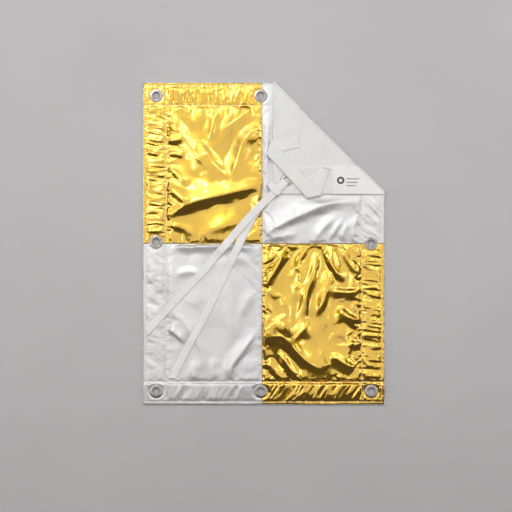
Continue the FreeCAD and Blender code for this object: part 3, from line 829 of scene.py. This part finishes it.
def declare_sheet(keep_corner):
    """Does nothing: every branch passes, for a whole rectangle, one less the folded corner, or that corner."""
    if keep_corner is None:
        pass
    elif keep_corner:
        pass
    else:
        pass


def make_panels(cloth, materials):
    left, right = (-FACE_HALF_W, SEAM_X), (SEAM_X, FACE_HALF_W)
    upper, lower = (SEAM_Y, FACE_HALF_H), (-FACE_HALF_H, SEAM_Y)
    panels = [
        ("gold", "upper_left", left, upper, "upper_half", None, "backing_upper",
         ["gold_face_upper_left"]),
        ("silver", "upper_right", right, upper, "upper_half", False, "backing_upper",
         ["silver_face_upper_right"]),
        ("silver", "corner", right, upper, "corner_flap", True, "backing_corner",
         ["silver_face_corner"]),
        ("silver", "lower_left", left, lower, "crease", None, "backing_lower",
         ["silver_face_left_strip", "silver_face_lower_left"]),
        ("gold", "lower_right", right, lower, "crease", None, "backing_lower",
         ["gold_face_right_strip", "gold_face_lower_right"]),
    ]
    for colour, place, x_range, y_range, body, keep_corner, under, nodes in panels:
        piece = panel(cloth, f"{colour}_panel_{place}", x_range, y_range, materials[colour])
        shape_layer(piece, keep_corner, PANEL_THICKNESS)
        settle(piece, body, colour + "_lame", *nodes)
        declare_sheet(keep_corner)


# ---------------------------------------------------------------- backing and hem webbing

LAYER_GAP = 0.05
BACKING_RIPPLE = 0.12
WEBBING_RIPPLE = 0.08
RIM_WAVE = 0.55
RIM_BEVEL = 0.45
BACKING_INSET = 0.5
BACKING_THICKNESS = FACE_BOTTOM - BACKING_BOTTOM - 2 * LAYER_GAP
WEBBING_THICKNESS = BACKING_BOTTOM - WEBBING_BOTTOM
BACKING_STEP = 5.0
WEBBING_STEP = 2.6
HOLE_IN_BACKING = 10.6


def flat_layer(name, x_range, y_range, top, step, ripple, seed, material, wavy_rim=0.0,
               hole=HOLE_IN_CLOTH):
    """A thin level layer of cloth or webbing, with a slight ripple and a wavy rim."""
    x, y = np.meshgrid(grid_lines(x_range, step), grid_lines(y_range, step))
    z = top + ripple * noise_2d(x / 9, y / 9, seed) * hold_down(x, y)
    out_x = np.where(np.abs(np.abs(x) - HALF_W) < 0.1, np.sign(x), 0)
    out_y = np.where(np.abs(np.abs(y) - HALF_H) < 0.1, np.sign(y), 0)
    wave = wavy_rim * (noise_2d(x / 11, y / 11, seed + 1) + 0.5 * noise_2d(x / 4, y / 4, seed + 2))
    points = np.stack([x + out_x * wave, y + out_y * wave, z], axis=-1)
    return grid_piece(name, x, y, points, hole, material)


def make_backing(materials):
    full_x = (-HALF_W + BACKING_INSET, HALF_W - BACKING_INSET)
    join_y = SEAM_Y - 2.0
    upper_y, lower_y = (join_y, HALF_H - BACKING_INSET), (-HALF_H + BACKING_INSET, join_y)
    sheets = [
        ("upper", upper_y, 31, "upper_half", False, "hem_webbing_top"),
        ("lower", lower_y, 32, "crease", None, "hem_webbing_bottom"),
        ("corner", upper_y, 33, "corner_flap", True, "silver_face_corner"),
    ]
    for place, y_range, seed, body, keep_corner, under in sheets:
        piece = flat_layer("backing_sheet_" + place, full_x, y_range, FACE_BOTTOM - LAYER_GAP,
                           BACKING_STEP, BACKING_RIPPLE, seed, materials["backing"],
                           hole=HOLE_IN_BACKING)
        shape_layer(piece, keep_corner, BACKING_THICKNESS)
        settle(piece, body, "backing_cloth", "backing_" + place)
        declare_sheet(keep_corner)


def make_hem(materials):
    """The webbing round the edge: top and bottom run right across, the sides between them."""
    inner_x, inner_y = HALF_W - HEM, HALF_H - HEM
    full, middle = (-HALF_W, HALF_W), (-inner_y, inner_y)
    left, right = (-HALF_W, -inner_x), (inner_x, HALF_W)
    top, bottom = (inner_y, HALF_H), (-HALF_H, -inner_y)
    strips = [
        ("top", full, top, "webbing_x", "upper_half", False, ["top"]),
        ("top_corner", full, top, "webbing_y", "corner_flap", True, ["top_corner"]),
        ("bottom", full, bottom, "webbing_x", "lower_half", None, ["bottom"]),
        ("left", left, middle, "webbing_y", "crease", None, ["left_upper", "left_lower"]),
        ("right", right, middle, "webbing_y", "crease", False, ["right_upper", "right_lower"]),
        ("right_corner", right, middle, "webbing_x", "corner_flap", True, ["right_corner"]),
    ]
    for number, (place, x_range, y_range, material, body, keep_corner, ends) in enumerate(strips):
        strip = flat_layer("hem_strip_" + place, x_range, y_range, BACKING_BOTTOM, WEBBING_STEP,
                           WEBBING_RIPPLE, 50 + 3 * number, materials[material],
                           wavy_rim=RIM_WAVE)
        shape_layer(strip, keep_corner, WEBBING_THICKNESS, rim_bevel=RIM_BEVEL)
        settle(strip, body, "hem_webbing", *["hem_webbing_" + end for end in ends])


# ---------------------------------------------------------------- grommets


def lathe(name, centre, profile, material, segments=64):
    """Turn a closed profile of (radius, height) points round a vertical axis."""
    points, faces = [], []
    count = len(profile)
    for turn in range(segments):
        angle = 2 * math.pi * turn / segments
        for radius, height in profile:
            points.append((centre[0] + radius * math.cos(angle),
                           centre[1] + radius * math.sin(angle), height))
        for index in range(count):
            after = (index + 1) % count
            far = (turn + 1) % segments
            faces.append((turn * count + index, far * count + index,
                          far * count + after, turn * count + after))
    return new_object(name, points, faces, material)


def arc_points(centre, radius, first, last, count=7):
    """Points of an arc in the profile's plane, angles in degrees."""
    angles = np.radians(np.linspace(first, last, count))
    return [(centre[0] + radius * math.cos(a), centre[1] + radius * math.sin(a)) for a in angles]


def eyelet_profile(hole, outer, low, seat, top):
    """The front half: a barrel whose lip rolls out into a domed flange."""
    lip = 1.15
    wall = 0.5
    profile = [(hole, low + 0.3), (hole, top - lip)]
    profile += arc_points((hole + lip, top - lip), lip, 180, 90)[1:]
    middle = (hole + outer) / 2
    profile += [(middle, top - 0.05), (outer - 1.4, top - 0.32)]
    profile += arc_points((outer - 0.6, top - 0.9), 0.6, 70, -60)
    profile += [(outer - 1.1, seat), (hole + wall + 0.5, seat), (hole + wall, seat - 0.5)]
    profile += [(hole + wall, low + 0.3)]
    return profile


def washer_profile(hole, outer, height):
    """The back half: a flat ring with the barrel's end rolled down over it."""
    wall = 0.5
    profile = [(hole, height + 0.6), (hole, 0.55)]
    profile += arc_points((hole + 0.55, 0.55), 0.55, 180, 270)[1:]
    profile += [(hole + 1.7, 0.02), (hole + 2.1, 0.24), (outer - 1.2, 0.14)]
    profile += arc_points((outer - 0.45, 0.5), 0.45, 250, 400)
    profile += [(outer - 0.7, height), (hole + wall, height), (hole + wall, height + 0.6)]
    return profile


def make_grommets(materials):
    low, high = box_mm("eyelet_upper_left")
    outer = (high[0] - low[0]) / 2
    washer_low, washer_high = box_mm("washer_upper_left")
    washer_outer = (washer_high[0] - washer_low[0]) / 2
    washer_height = washer_high[2]
    hole = frame["record"]["mounts"][0]["dims"]["r_mm"]
    eyelet = eyelet_profile(hole, outer, washer_height, FACE_TOP - 0.1, high[2])
    washer = washer_profile(hole, washer_outer, washer_height)
    for name, place in GROMMETS.items():
        body = "lower_half" if "lower" in name or "bottom" in name else "upper_half"
        front = lathe("grommet_front_" + name, place, eyelet, materials["metal"])
        back = lathe("grommet_back_" + name, place, washer, materials["metal"])
        for piece, node in ((front, "eyelet_" + name), (back, "washer_" + name)):
            if name == "corner":
                turn_over(piece)
                body = "corner_flap"
            settle(piece, body, "grommet_metal", node)


# ---------------------------------------------------------------- stitches


def stitch_rows():
    """Every row of hem stitches on the flat sheet: its start and its end."""
    reach_x, reach_y = FACE_HALF_W - 0.6, FACE_HALF_H - 0.6
    rows = []
    for side in (-1, 1):
        for inset in (OUTER_ROW, INNER_ROW):
            level = side * (HALF_H - inset)
            rows.append(((-reach_x, level), (reach_x, level)))
        for inset in (OUTER_ROW, INNER_ROW, SECOND_ROW):
            level = side * (HALF_W - inset)
            rows.append(((level, -reach_y), (level, reach_y)))
    return rows


def seam_rows():
    offset = 2.2
    inner_x, inner_y = HALF_W - INNER_ROW - 2, HALF_H - INNER_ROW - 2
    return [((-inner_x, SEAM_Y - offset), (inner_x, SEAM_Y - offset)),
            ((SEAM_X - offset, -inner_y), (SEAM_X - offset, inner_y))]


STITCH_RADIUS = 0.46
STITCH_SHARE = 0.80
STITCH_CLEARANCE = 14.5
STITCH_WANDER = 0.18


def stitch(points, faces, middle, along, height, radius):
    """One stitch: a short bowed thread whose ends go down into the cloth."""
    side = sideways(along)
    forward = np.array([along[0], along[1], 0.0])
    half = STITCH_PITCH * STITCH_SHARE / 2
    rings, sides = 5, 6
    base = len(points)
    for ring in range(rings):
        t = ring / (rings - 1) * 2 - 1
        lift = height + radius * 0.35 - radius * t * t * 1.6
        width = radius * math.sqrt(max(1 - 0.75 * t * t, 0.05))
        for step in range(sides):
            angle = 2 * math.pi * step / sides
            offset = side * (width * math.cos(angle)) + np.array([0, 0, width * math.sin(angle)])
            points.append(np.array([middle[0], middle[1], lift]) + forward * (half * t) + offset)
    faces.extend(tube_faces(rings, sides, base))
    faces.append(tuple(base + step for step in range(sides))[::-1])
    faces.append(tuple(base + (rings - 1) * sides + step for step in range(sides)))


def stitched(rows, keep, height_at):
    """All the stitches of some rows that lie in one region of the sheet."""
    points, faces = [], []
    for start, end in rows:
        start, end = np.array(start), np.array(end)
        length = math.hypot(*(end - start))
        along = (end - start) / length
        for number in range(int(length / STITCH_PITCH)):
            middle = start + along * (number + 0.5) * STITCH_PITCH
            near_hole = grommet_distance(*middle) < STITCH_CLEARANCE
            if keep(middle) and not near_hole:
                waver = float(noise_2d(np.array(number * 0.7), np.array(start[0]), 70))
                wander = STITCH_WANDER * waver
                place = middle + np.array([-along[1], along[0]]) * wander
                stitch(points, faces, place, along, height_at(place), STITCH_RADIUS)
    return points, faces


def make_stitches(cloth, materials):
    margin = 3.0

    def on_corner(place):
        return place[0] + place[1] > FOLD_SUM + margin

    def on_lower(place):
        return place[1] < CREASE_Y

    def on_upper(place):
        return place[1] >= CREASE_Y and place[0] + place[1] < FOLD_SUM - margin

    def face_height(place):
        column = np.argmin(np.abs(cloth["flat_x"][0] - place[0]))
        row = np.argmin(np.abs(cloth["flat_y"][:, 0] - place[1]))
        return float(cloth["z"][row, column])

    def back_height(place):
        return 0.0

    hem, seams = stitch_rows(), seam_rows()
    groups = [
        ("hem_thread_upper", hem, on_upper, "upper_half", ["hem_stitching_upper"]),
        ("hem_thread_lower", hem, on_lower, "lower_half", ["hem_stitching_lower"]),
        ("hem_thread_corner", hem, on_corner, "corner_flap", ["hem_stitching_corner"]),
        ("seam_thread_upper", seams, on_upper, "upper_half", ["seam_stitching_upper"]),
        ("seam_thread_lower", seams, on_lower, "lower_half", ["seam_stitching_lower"]),
        ("hem_thread_back_upper", hem, on_upper, "upper_half", []),
        ("hem_thread_back_lower", hem, on_lower, "lower_half", []),
        ("hem_thread_back_corner", hem, on_corner, "corner_flap", []),
    ]
    for name, rows, keep, body, nodes in groups:
        on_back = "_back_" in name
        points, faces = stitched(rows, keep, back_height if on_back else face_height)
        if on_back:
            points = [(x, y, WEBBING_BOTTOM - z) for x, y, z in points]
            faces = [face[::-1] for face in faces]
        piece = new_object(name, points, faces, materials["thread"])
        if body == "corner_flap":
            turn_over(piece)
        settle(piece, body, "thread", *nodes)


# ---------------------------------------------------------------- the fold's rounded edge


FOLD_LENGTH = (HALF_W + HALF_H - FOLD_SUM) * math.sqrt(2)


def fold_roll(name, first, last, bottom, thickness, material, seed):
    """A layer's turn round the fold line, between two places along that line."""
    along = Vector((1, -1, 0)).normalized()
    outward = Vector((1, 1, 0)).normalized()
    start = Vector((FOLD_SUM - HALF_H, HALF_H, 0))
    outer = FOLD_POINT.z - bottom
    inner = outer - thickness
    steps, turns = max(4, int((last - first) / 5)), 12
    points = []
    for step in range(steps + 1):
        distance = first + (last - first) * step / steps
        swell = 1 + 0.06 * float(noise_2d(np.array(distance / 9), np.array(0.0), seed))
        section = [(outer * swell, turn) for turn in range(turns + 1)]
        section += [(inner * swell, turn) for turn in range(turns, -1, -1)]
        for radius, turn in section:
            angle = math.pi * turn / turns - math.pi / 2
            out = radius * math.cos(angle) * 0.8
            inside = min(max(distance, out), FOLD_LENGTH - out)
            place = start + along * inside + outward * out
            points.append((place.x, place.y, FOLD_POINT.z + radius / swell * math.sin(angle)))
    count = 2 * (turns + 1)
    faces = tube_faces(steps + 1, count)
    faces.append(tuple(range(count))[::-1])
    faces.append(tuple(range(steps * count, (steps + 1) * count)))
    piece = new_object(name, points, faces, material)
    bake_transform(piece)


def make_fold(materials):
    band = HEM * math.sqrt(2)
    layers = [
        ("backing_fold", 1, FOLD_LENGTH - 1, BACKING_BOTTOM + LAYER_GAP, BACKING_THICKNESS,
         "backing", "backing_cloth"),
        ("silver_fold", 2, FOLD_LENGTH - 2, FACE_BOTTOM + LAYER_GAP, PANEL_THICKNESS,
         "silver", "silver_lame"),
        ("hem_fold_top", 0, band, WEBBING_BOTTOM, WEBBING_THICKNESS, "webbing_x", "hem_webbing"),
        ("hem_fold_right", FOLD_LENGTH - band, FOLD_LENGTH, WEBBING_BOTTOM, WEBBING_THICKNESS,
         "webbing_y", "hem_webbing"),
    ]
    for seed, (name, first, last, bottom, thickness, material, slot) in enumerate(layers, 81):
        fold_roll(name, first, last, bottom, thickness, materials[material], seed)


# ---------------------------------------------------------------- corner loop, hitch and tails

LOOP_TURNS = {
    # folded tip to the middle of each turned end, and the turn line's angle
    "left": ((-7.0, 87.0), 72.4),
    "bottom": ((77.0, -4.0), 11.5),
}
LOOP_WIDTH = 25.4
LOOP_THICKNESS = 1.5
LOOP_REACH = 58.0
LOOP_RUN = 34.0
LOOP_RUN_POINTS = 12
LOOP_ROLL_POINTS = 9
LOOP_BLEND = 16


def unit(angle):
    return np.array([math.cos(math.radians(angle)), math.sin(math.radians(angle))])


RIBBON_COLUMNS = 9
RIBBON_MIDDLE = RIBBON_COLUMNS // 2


def ribbon(name, route, sides, thickness, material):
    """A flat band: route points, the sideways unit vector and width at each, closed all round."""
    route = np.asarray(route, float)
    columns = RIBBON_COLUMNS
    count = len(route)
    points = []
    tangents = np.gradient(route, axis=0)
    tangents /= np.linalg.norm(tangents, axis=1)[:, None]
    offsets = np.linspace(-1, 1, columns)
    crown = np.sqrt(np.clip(1 - np.abs(offsets) ** 8, 0.02, 1))
    for index in range(count):
        side, width = sides[index]
        up = np.cross(tangents[index], side)
        up /= np.linalg.norm(up)
        for face in (1, -1):
            order = range(columns) if face == 1 else range(columns - 1, -1, -1)
            for column in order:
                half = thickness / 2 * crown[column]
                points.append(route[index] + side * (offsets[column] * width / 2) + up * half * face)
    ring = 2 * columns
    faces = tube_faces(count, ring)
    for base, flip in ((0, 1), ((count - 1) * ring, -1)):
        for column in range(columns - 1):
            top, bottom = base + column, base + ring - 1 - column
            quad = (top, top + 1, bottom - 1, bottom)
            faces.append(quad[::flip])
    return new_object(name, points, faces, material)


def join(pieces, name):
    """Put several meshes in one object."""
    target = bmesh.new()
    for piece in pieces:
        target.from_mesh(piece.data)
    mesh = pieces[0].data
    target.to_mesh(mesh)
    target.free()
    for piece in pieces[1:]:
        bpy.data.objects.remove(piece)
    pieces[0].name = name
    mesh.polygons.foreach_set("use_smooth", [True] * len(mesh.polygons))
    return pieces[0]


def loop_end(tip, centre, turn_angle, strap_along, low, high):
    """An end of the loop: the strap rolls over the turn line and runs back in the hem."""
    turn = unit(turn_angle)
    centre = tip + np.array(centre)
    away = strap_along - turn * strap_along.dot(turn)
    away /= np.hypot(*away)
    back = 2 * turn * strap_along.dot(turn) - strap_along
    crossing = abs(strap_along[0] * turn[1] - strap_along[1] * turn[0])
    width = LOOP_WIDTH / crossing
    route, distances = [], []
    middle, radius = (low + high) / 2, (high - low) / 2
    for distance in np.linspace(LOOP_RUN, 0, LOOP_RUN_POINTS):
        place = centre - strap_along * distance
        route.append((*place, high + 0.5 * math.sin(math.pi * distance / (2 * LOOP_RUN))))
        distances.append(distance)
    for angle in np.linspace(75, -75, LOOP_ROLL_POINTS):
        out = radius * 1.35 * math.cos(math.radians(angle))
        place = centre + away * out
        route.append((*place, middle + radius * math.sin(math.radians(angle))))
        distances.append(0)
    for distance in np.linspace(2, LOOP_REACH, 16):
        place = centre + back * distance
        route.append((*place, low - 0.35 * smooth_step(distance, 4, LOOP_REACH)))
        distances.append(-distance)
    wide = np.array([turn[0], turn[1], 0.0])
    if np.cross((*strap_along, 0.0), wide)[2] < 0:
        wide = -wide
    across_strap, across_back = sideways(strap_along), sideways(back)
    if across_back.dot(wide) < 0:
        across_back = -across_back
    bands = []
    for distance in distances:
        if distance > 0:
            share = min(distance / LOOP_BLEND, 1)
            target, span = across_strap, LOOP_WIDTH
        elif distance < 0:
            share = min(-distance / LOOP_BLEND, 1)
            target, span = across_back, LOOP_WIDTH
        else:
            share, target, span = 0, wide, width
        side = wide * (1 - share) + target * share
        side /= np.linalg.norm(side)
        bands.append((side, width * (1 - share) + span * share))
    return route, bands


def trim_ends(piece, left_count, bottom_from):
    """Cut the two turned ends off along the inner side of the hem they lie on."""
    ring = 2 * RIBBON_COLUMNS
    vertices = piece.data.vertices
    limits = ((0, (TIP[0] + HEM - 1.0) * MM), (1, (TIP[1] + HEM - 1.0) * MM))
    unturned = LOOP_RUN_POINTS + LOOP_ROLL_POINTS
    spans = (range(0, left_count - unturned), range(bottom_from + unturned, len(vertices) // ring))
    for (axis, limit), span in zip(limits, spans):
        near, far = (span[-1], span[0]) if axis == 0 else (span[0], span[-1])
        back = vertices[far * ring + RIBBON_MIDDLE].co - vertices[near * ring + RIBBON_MIDDLE].co
        back.z = 0
        back.normalize()
        for index in span:
            for vertex in vertices[index * ring:(index + 1) * ring]:
                excess = vertex.co[axis] - limit
                if excess > 0:
                    vertex.co -= back * (excess / back[axis])
    mesh = bmesh.new()
    mesh.from_mesh(piece.data)
    bmesh.ops.remove_doubles(mesh, verts=mesh.verts[:], dist=1e-5)
    bmesh.ops.dissolve_degenerate(mesh, edges=mesh.edges[:], dist=1e-6)
    mesh.to_mesh(piece.data)
    mesh.free()


def make_loop(materials):
    tip = TIP[:2]
    left_centre, left_angle = LOOP_TURNS["left"]
    bottom_centre, bottom_angle = LOOP_TURNS["bottom"]
    along = np.array(bottom_centre) - np.array(left_centre)
    along /= np.hypot(*along)
    low = FLAP_WEBBING_TOP + 0.25
    high = LOOP_TOP - LOOP_THICKNESS / 2
    left_route, left_bands = loop_end(tip, left_centre, left_angle, -along, low, high)
    bottom_route, bottom_bands = loop_end(tip, bottom_centre, bottom_angle, along, low, high)
    middle_start, middle_end = np.array(left_route[0]), np.array(bottom_route[0])
    shares = np.linspace(0, 1, 14)[1:-1]
    middle = [middle_start * (1 - t) + middle_end * t + np.array([0, 0, 0.9 * math.sin(math.pi * t)])
              for t in shares]
    across = sideways(-along)
    if across.dot(left_bands[0][0]) < 0:
        across = -across
    if across.dot(bottom_bands[0][0]) < 0:
        bottom_bands = [(-side, span) for side, span in bottom_bands]
    route = left_route[::-1] + [tuple(point) for point in middle] + bottom_route
    bands = left_bands[::-1] + [(across, LOOP_WIDTH)] * len(middle) + bottom_bands
    piece = ribbon("corner_loop", route, bands, LOOP_THICKNESS, materials["loop"])
    trim_ends(piece, len(left_route), len(route) - len(bottom_route))
    settle(piece, "corner_flap", "loop_webbing", "corner_loop_webbing")


TAPE_WIDTH = 15.0
TAPE_THICKNESS = 0.9
# How much narrower the tape is where the legs gather and where it bends round an edge
GATHERED_BY = 5.5
BUNCHED_BY = 2.5
DIAGONAL = np.array([1, 1, 0]) / math.sqrt(2)
ACROSS = np.array([1, -1, 0]) / math.sqrt(2)


def from_tip(across, inward, z):
    return np.array([TIP[0], TIP[1], 0]) + DIAGONAL * inward + ACROSS * across + np.array([0, 0, z])


def make_hitch(materials):
    """The bight goes over the tip and round both edges; its legs meet under the hole."""
    top = HITCH_TOP - TAPE_THICKNESS / 2
    low = FACE_TOP + 0.95
    pass_points = [(-3, 33, low), (-9, 26, low), (-16.5, 14, low), (-19.2, 10.6, low + 1.8),
                   (-19.6, 10, (low + top) / 2), (-18.4, 9.4, top - 1.4), (-14, 9, top - 0.35),
                   (-5, 8.6, top), (3, 8.8, top - 0.3), (7.6, 9.6, top - 1.1),
                   (9.8, 10.2, (low + top) / 2 + 0.6), (10.4, 10.6, low + 2.2), (9.5, 13, low),
                   (6, 24, low), (3, 33, low)]
    route = curve_through([from_tip(*point) for point in pass_points], 6)
    bands = []
    for point, tangent in zip(route, np.gradient(route, axis=0)):
        inward = (point - from_tip(0, 0, 0)).dot(DIAGONAL)
        gather = smooth_step(inward, 14, 32)
        of_leg = sideways(tangent)
        of_leg *= math.copysign(1, of_leg.dot(DIAGONAL)) / np.linalg.norm(of_leg)
        turned = smooth_step(inward, 12, 20)
        flat = DIAGONAL * (1 - turned) + of_leg * turned
        bunched = smooth_step(abs(float((point - from_tip(-5, 0, 0)).dot(ACROSS))), 8, 15)
        width = TAPE_WIDTH - GATHERED_BY * gather - BUNCHED_BY * bunched
        bands.append((flat / np.linalg.norm(flat), width))
    bight = ribbon("tie_bight", route, bands, TAPE_THICKNESS, materials["tape"])
    ups = []
    tail_starts = ((0.5, 11.25, 33.0), (-0.5, 12.4, 34.4))
    for across, level, bend in tail_starts:
        rise = curve_through([from_tip(across, bend, low), from_tip(across, bend - 0.1, 7.5),
                              from_tip(across, bend - 1.0, level - 1.4),
                              from_tip(across, bend - 3.0, level - 0.2),
                              from_tip(across, 28.6, level), from_tip(across, 25.5, level)], 5)
        span = [(ACROSS, 10.5 + 4.5 * smooth_step(point[2], 8.0, level - 0.3)) for point in rise]
        ups.append(ribbon("tie_rise", rise, span, TAPE_THICKNESS, materials["tape"]))
    hitch = join([bight] + ups, "tie_knot")
    settle(hitch, "corner_flap", "tie_tape", "tie_hitch")
    return hitch


# The tails' routes in metres, as the solids have them; the left one ends a little further out
LEFT_TAIL_ROUTE = [
    (0.0367, 0.1129, 0.0124),
    (0.0150, 0.0915, 0.0121),
    (-0.0145, 0.0630, 0.0065),
    (-0.0430, 0.0320, 0.0064),
    (-0.0790, -0.0105, 0.0049),
    (-0.1185, -0.0575, 0.0049),
    (-0.1680, -0.1090, 0.0049),
    (-0.2225, -0.1675, 0.0049),
]
RIGHT_TAIL_ROUTE = [
    (0.0367, 0.1129, 0.0112),
    (0.0140, 0.0910, 0.0109),
    (-0.0120, 0.0665, 0.0050),
    (-0.0310, 0.0310, 0.0049),
    (-0.0525, -0.0135, 0.0049),
    (-0.0815, -0.0760, 0.0049),
    (-0.1145, -0.1420, 0.0049),
    (-0.1450, -0.1990, 0.0049),
    (-0.1735, -0.2540, 0.0049),
]
SLANT_LENGTH = 9.0
SLANT_RINGS = 6
TAIL_STEP = 2.0
TAIL_POINTS_AT_KNOT = 14
TAIL_CLEARANCE = 0.15
LIFT_AT_CREASE = 0.6


def smooth_line(route):
    """Points along the NURBS curve that a route controls, in millimetres."""
    data = bpy.data.curves.new("route", "CURVE")
    data.dimensions = "3D"
    spline = data.splines.new("NURBS")
    spline.points.add(len(route) - 1)
    for point, place in zip(spline.points, route):
        point.co = (*place, 1)
    spline.order_u = 3
    spline.use_endpoint_u = True
    spline.resolution_u = 24
    carrier = bpy.data.objects.new("route", data)
    bpy.context.collection.objects.link(carrier)
    graph = bpy.context.evaluated_depsgraph_get()
    mesh = bpy.data.meshes.new_from_object(carrier.evaluated_get(graph))
    line = np.array([vertex.co[:] for vertex in mesh.vertices]) / MM
    bpy.data.objects.remove(carrier)
    return line


def slant_end(piece, count, slant):
    """Skew the last stretch of a ribbon, so that it ends in a slanted cut."""
    ring = 2 * RIBBON_COLUMNS
    vertices = piece.data.vertices
    last = (count - 1) * ring
    along = vertices[last + RIBBON_MIDDLE].co - vertices[last - ring + RIBBON_MIDDLE].co
    along.normalize()
    for step in range(SLANT_RINGS):
        share = (1 - step / SLANT_RINGS) * slant * MM
        for column in range(RIBBON_COLUMNS):
            offset = (column - RIBBON_MIDDLE) / (RIBBON_COLUMNS - 1)
            start = (count - 1 - step) * ring
            vertices[start + column].co += along * (offset * share)
            vertices[start + ring - 1 - column].co += along * (offset * share)


def make_tail(cloth, name, node, route, lie_on, slant, materials):
    """A tail of flat tape that lies on whatever is under it, cut off bare at a slant."""
    line = smooth_line(route)
    keep = [line[0]]
    for point in line[1:]:
        if np.linalg.norm(point - keep[-1]) > TAIL_STEP:
            keep.append(point)
    line = np.array(keep)
    ground = np.array([cloth_height(cloth, x, y) for x, y, _ in line])
    ground = ground + TAPE_THICKNESS / 2 + TAIL_CLEARANCE
    near_crease = smooth_step(-np.abs(line[:, 1] - CREASE_Y), -30, -18)
    ground += lie_on(line) + LIFT_AT_CREASE * near_crease
    ground[:TAIL_POINTS_AT_KNOT] = line[:TAIL_POINTS_AT_KNOT, 2]
    level = np.maximum(line[:, 2], ground)
    for _ in range(5):
        level[1:-1] = np.maximum(ground[1:-1], (level[:-2] + level[1:-1] + level[2:]) / 3)
    level[1:-1] = (level[:-2] + 2 * level[1:-1] + level[2:]) / 4
    line = np.column_stack([line[:, :2], level])
    tangent = np.gradient(line, axis=0)
    side = np.column_stack([-tangent[:, 1], tangent[:, 0], np.zeros(len(line))])
    side /= np.linalg.norm(side, axis=1)[:, None]
    bands = [(vector, TAPE_WIDTH) for vector in side]
    piece = ribbon(name, line, bands, TAPE_THICKNESS, materials["tape"])
    slant_end(piece, len(line), slant)
    settle(piece, "corner_flap", "tie_tape", node)
    return line


def make_tie(cloth, materials):
    hitch = make_hitch(materials)
    right = make_tail(cloth, "tie_tail_right_tape", "tie_tail_right", RIGHT_TAIL_ROUTE,
                      lambda line: np.zeros(len(line)), -SLANT_LENGTH, materials)

    def over_right(line):
        gaps = np.array([np.hypot(*(right[:, :2] - point[:2]).T).min() for point in line])
        return (TAPE_THICKNESS + 0.2) * smooth_step(-gaps, -TAPE_WIDTH - 3, -TAPE_WIDTH + 1)

    make_tail(cloth, "tie_tail_left_tape", "tie_tail_left", LEFT_TAIL_ROUTE, over_right,
              SLANT_LENGTH, materials)


# ---------------------------------------------------------------- labels and floor


def finish_cad_labels(materials):
    """The label and its plain mark keep their solids and get their own materials."""
    for node, key in (("label_sheet_part", "label"), ("label_corner_part", "label"),
                      ("label_mark", "ink")):
        for holder in frame["nodes"][node].material_slots:
            holder.material = materials[key]


def make_floor(materials):
    reach, level = 6000.0, -0.2
    corners = [(-reach, -reach, level), (reach, -reach, level), (reach, reach, level),
               (-reach, reach, level)]
    new_object("floor", corners, [(0, 1, 2, 3)], materials["floor"], smooth=False)


def build():
    make_camera()
    materials = make_materials()
    cloth = make_cloth()
    make_tie(cloth, materials)
    make_panels(cloth, materials)
    make_backing(materials)
    make_hem(materials)
    make_grommets(materials)
    make_stitches(cloth, materials)
    make_fold(materials)
    make_loop(materials)
    finish_cad_labels(materials)
    make_floor(materials)
    make_lights()


build()
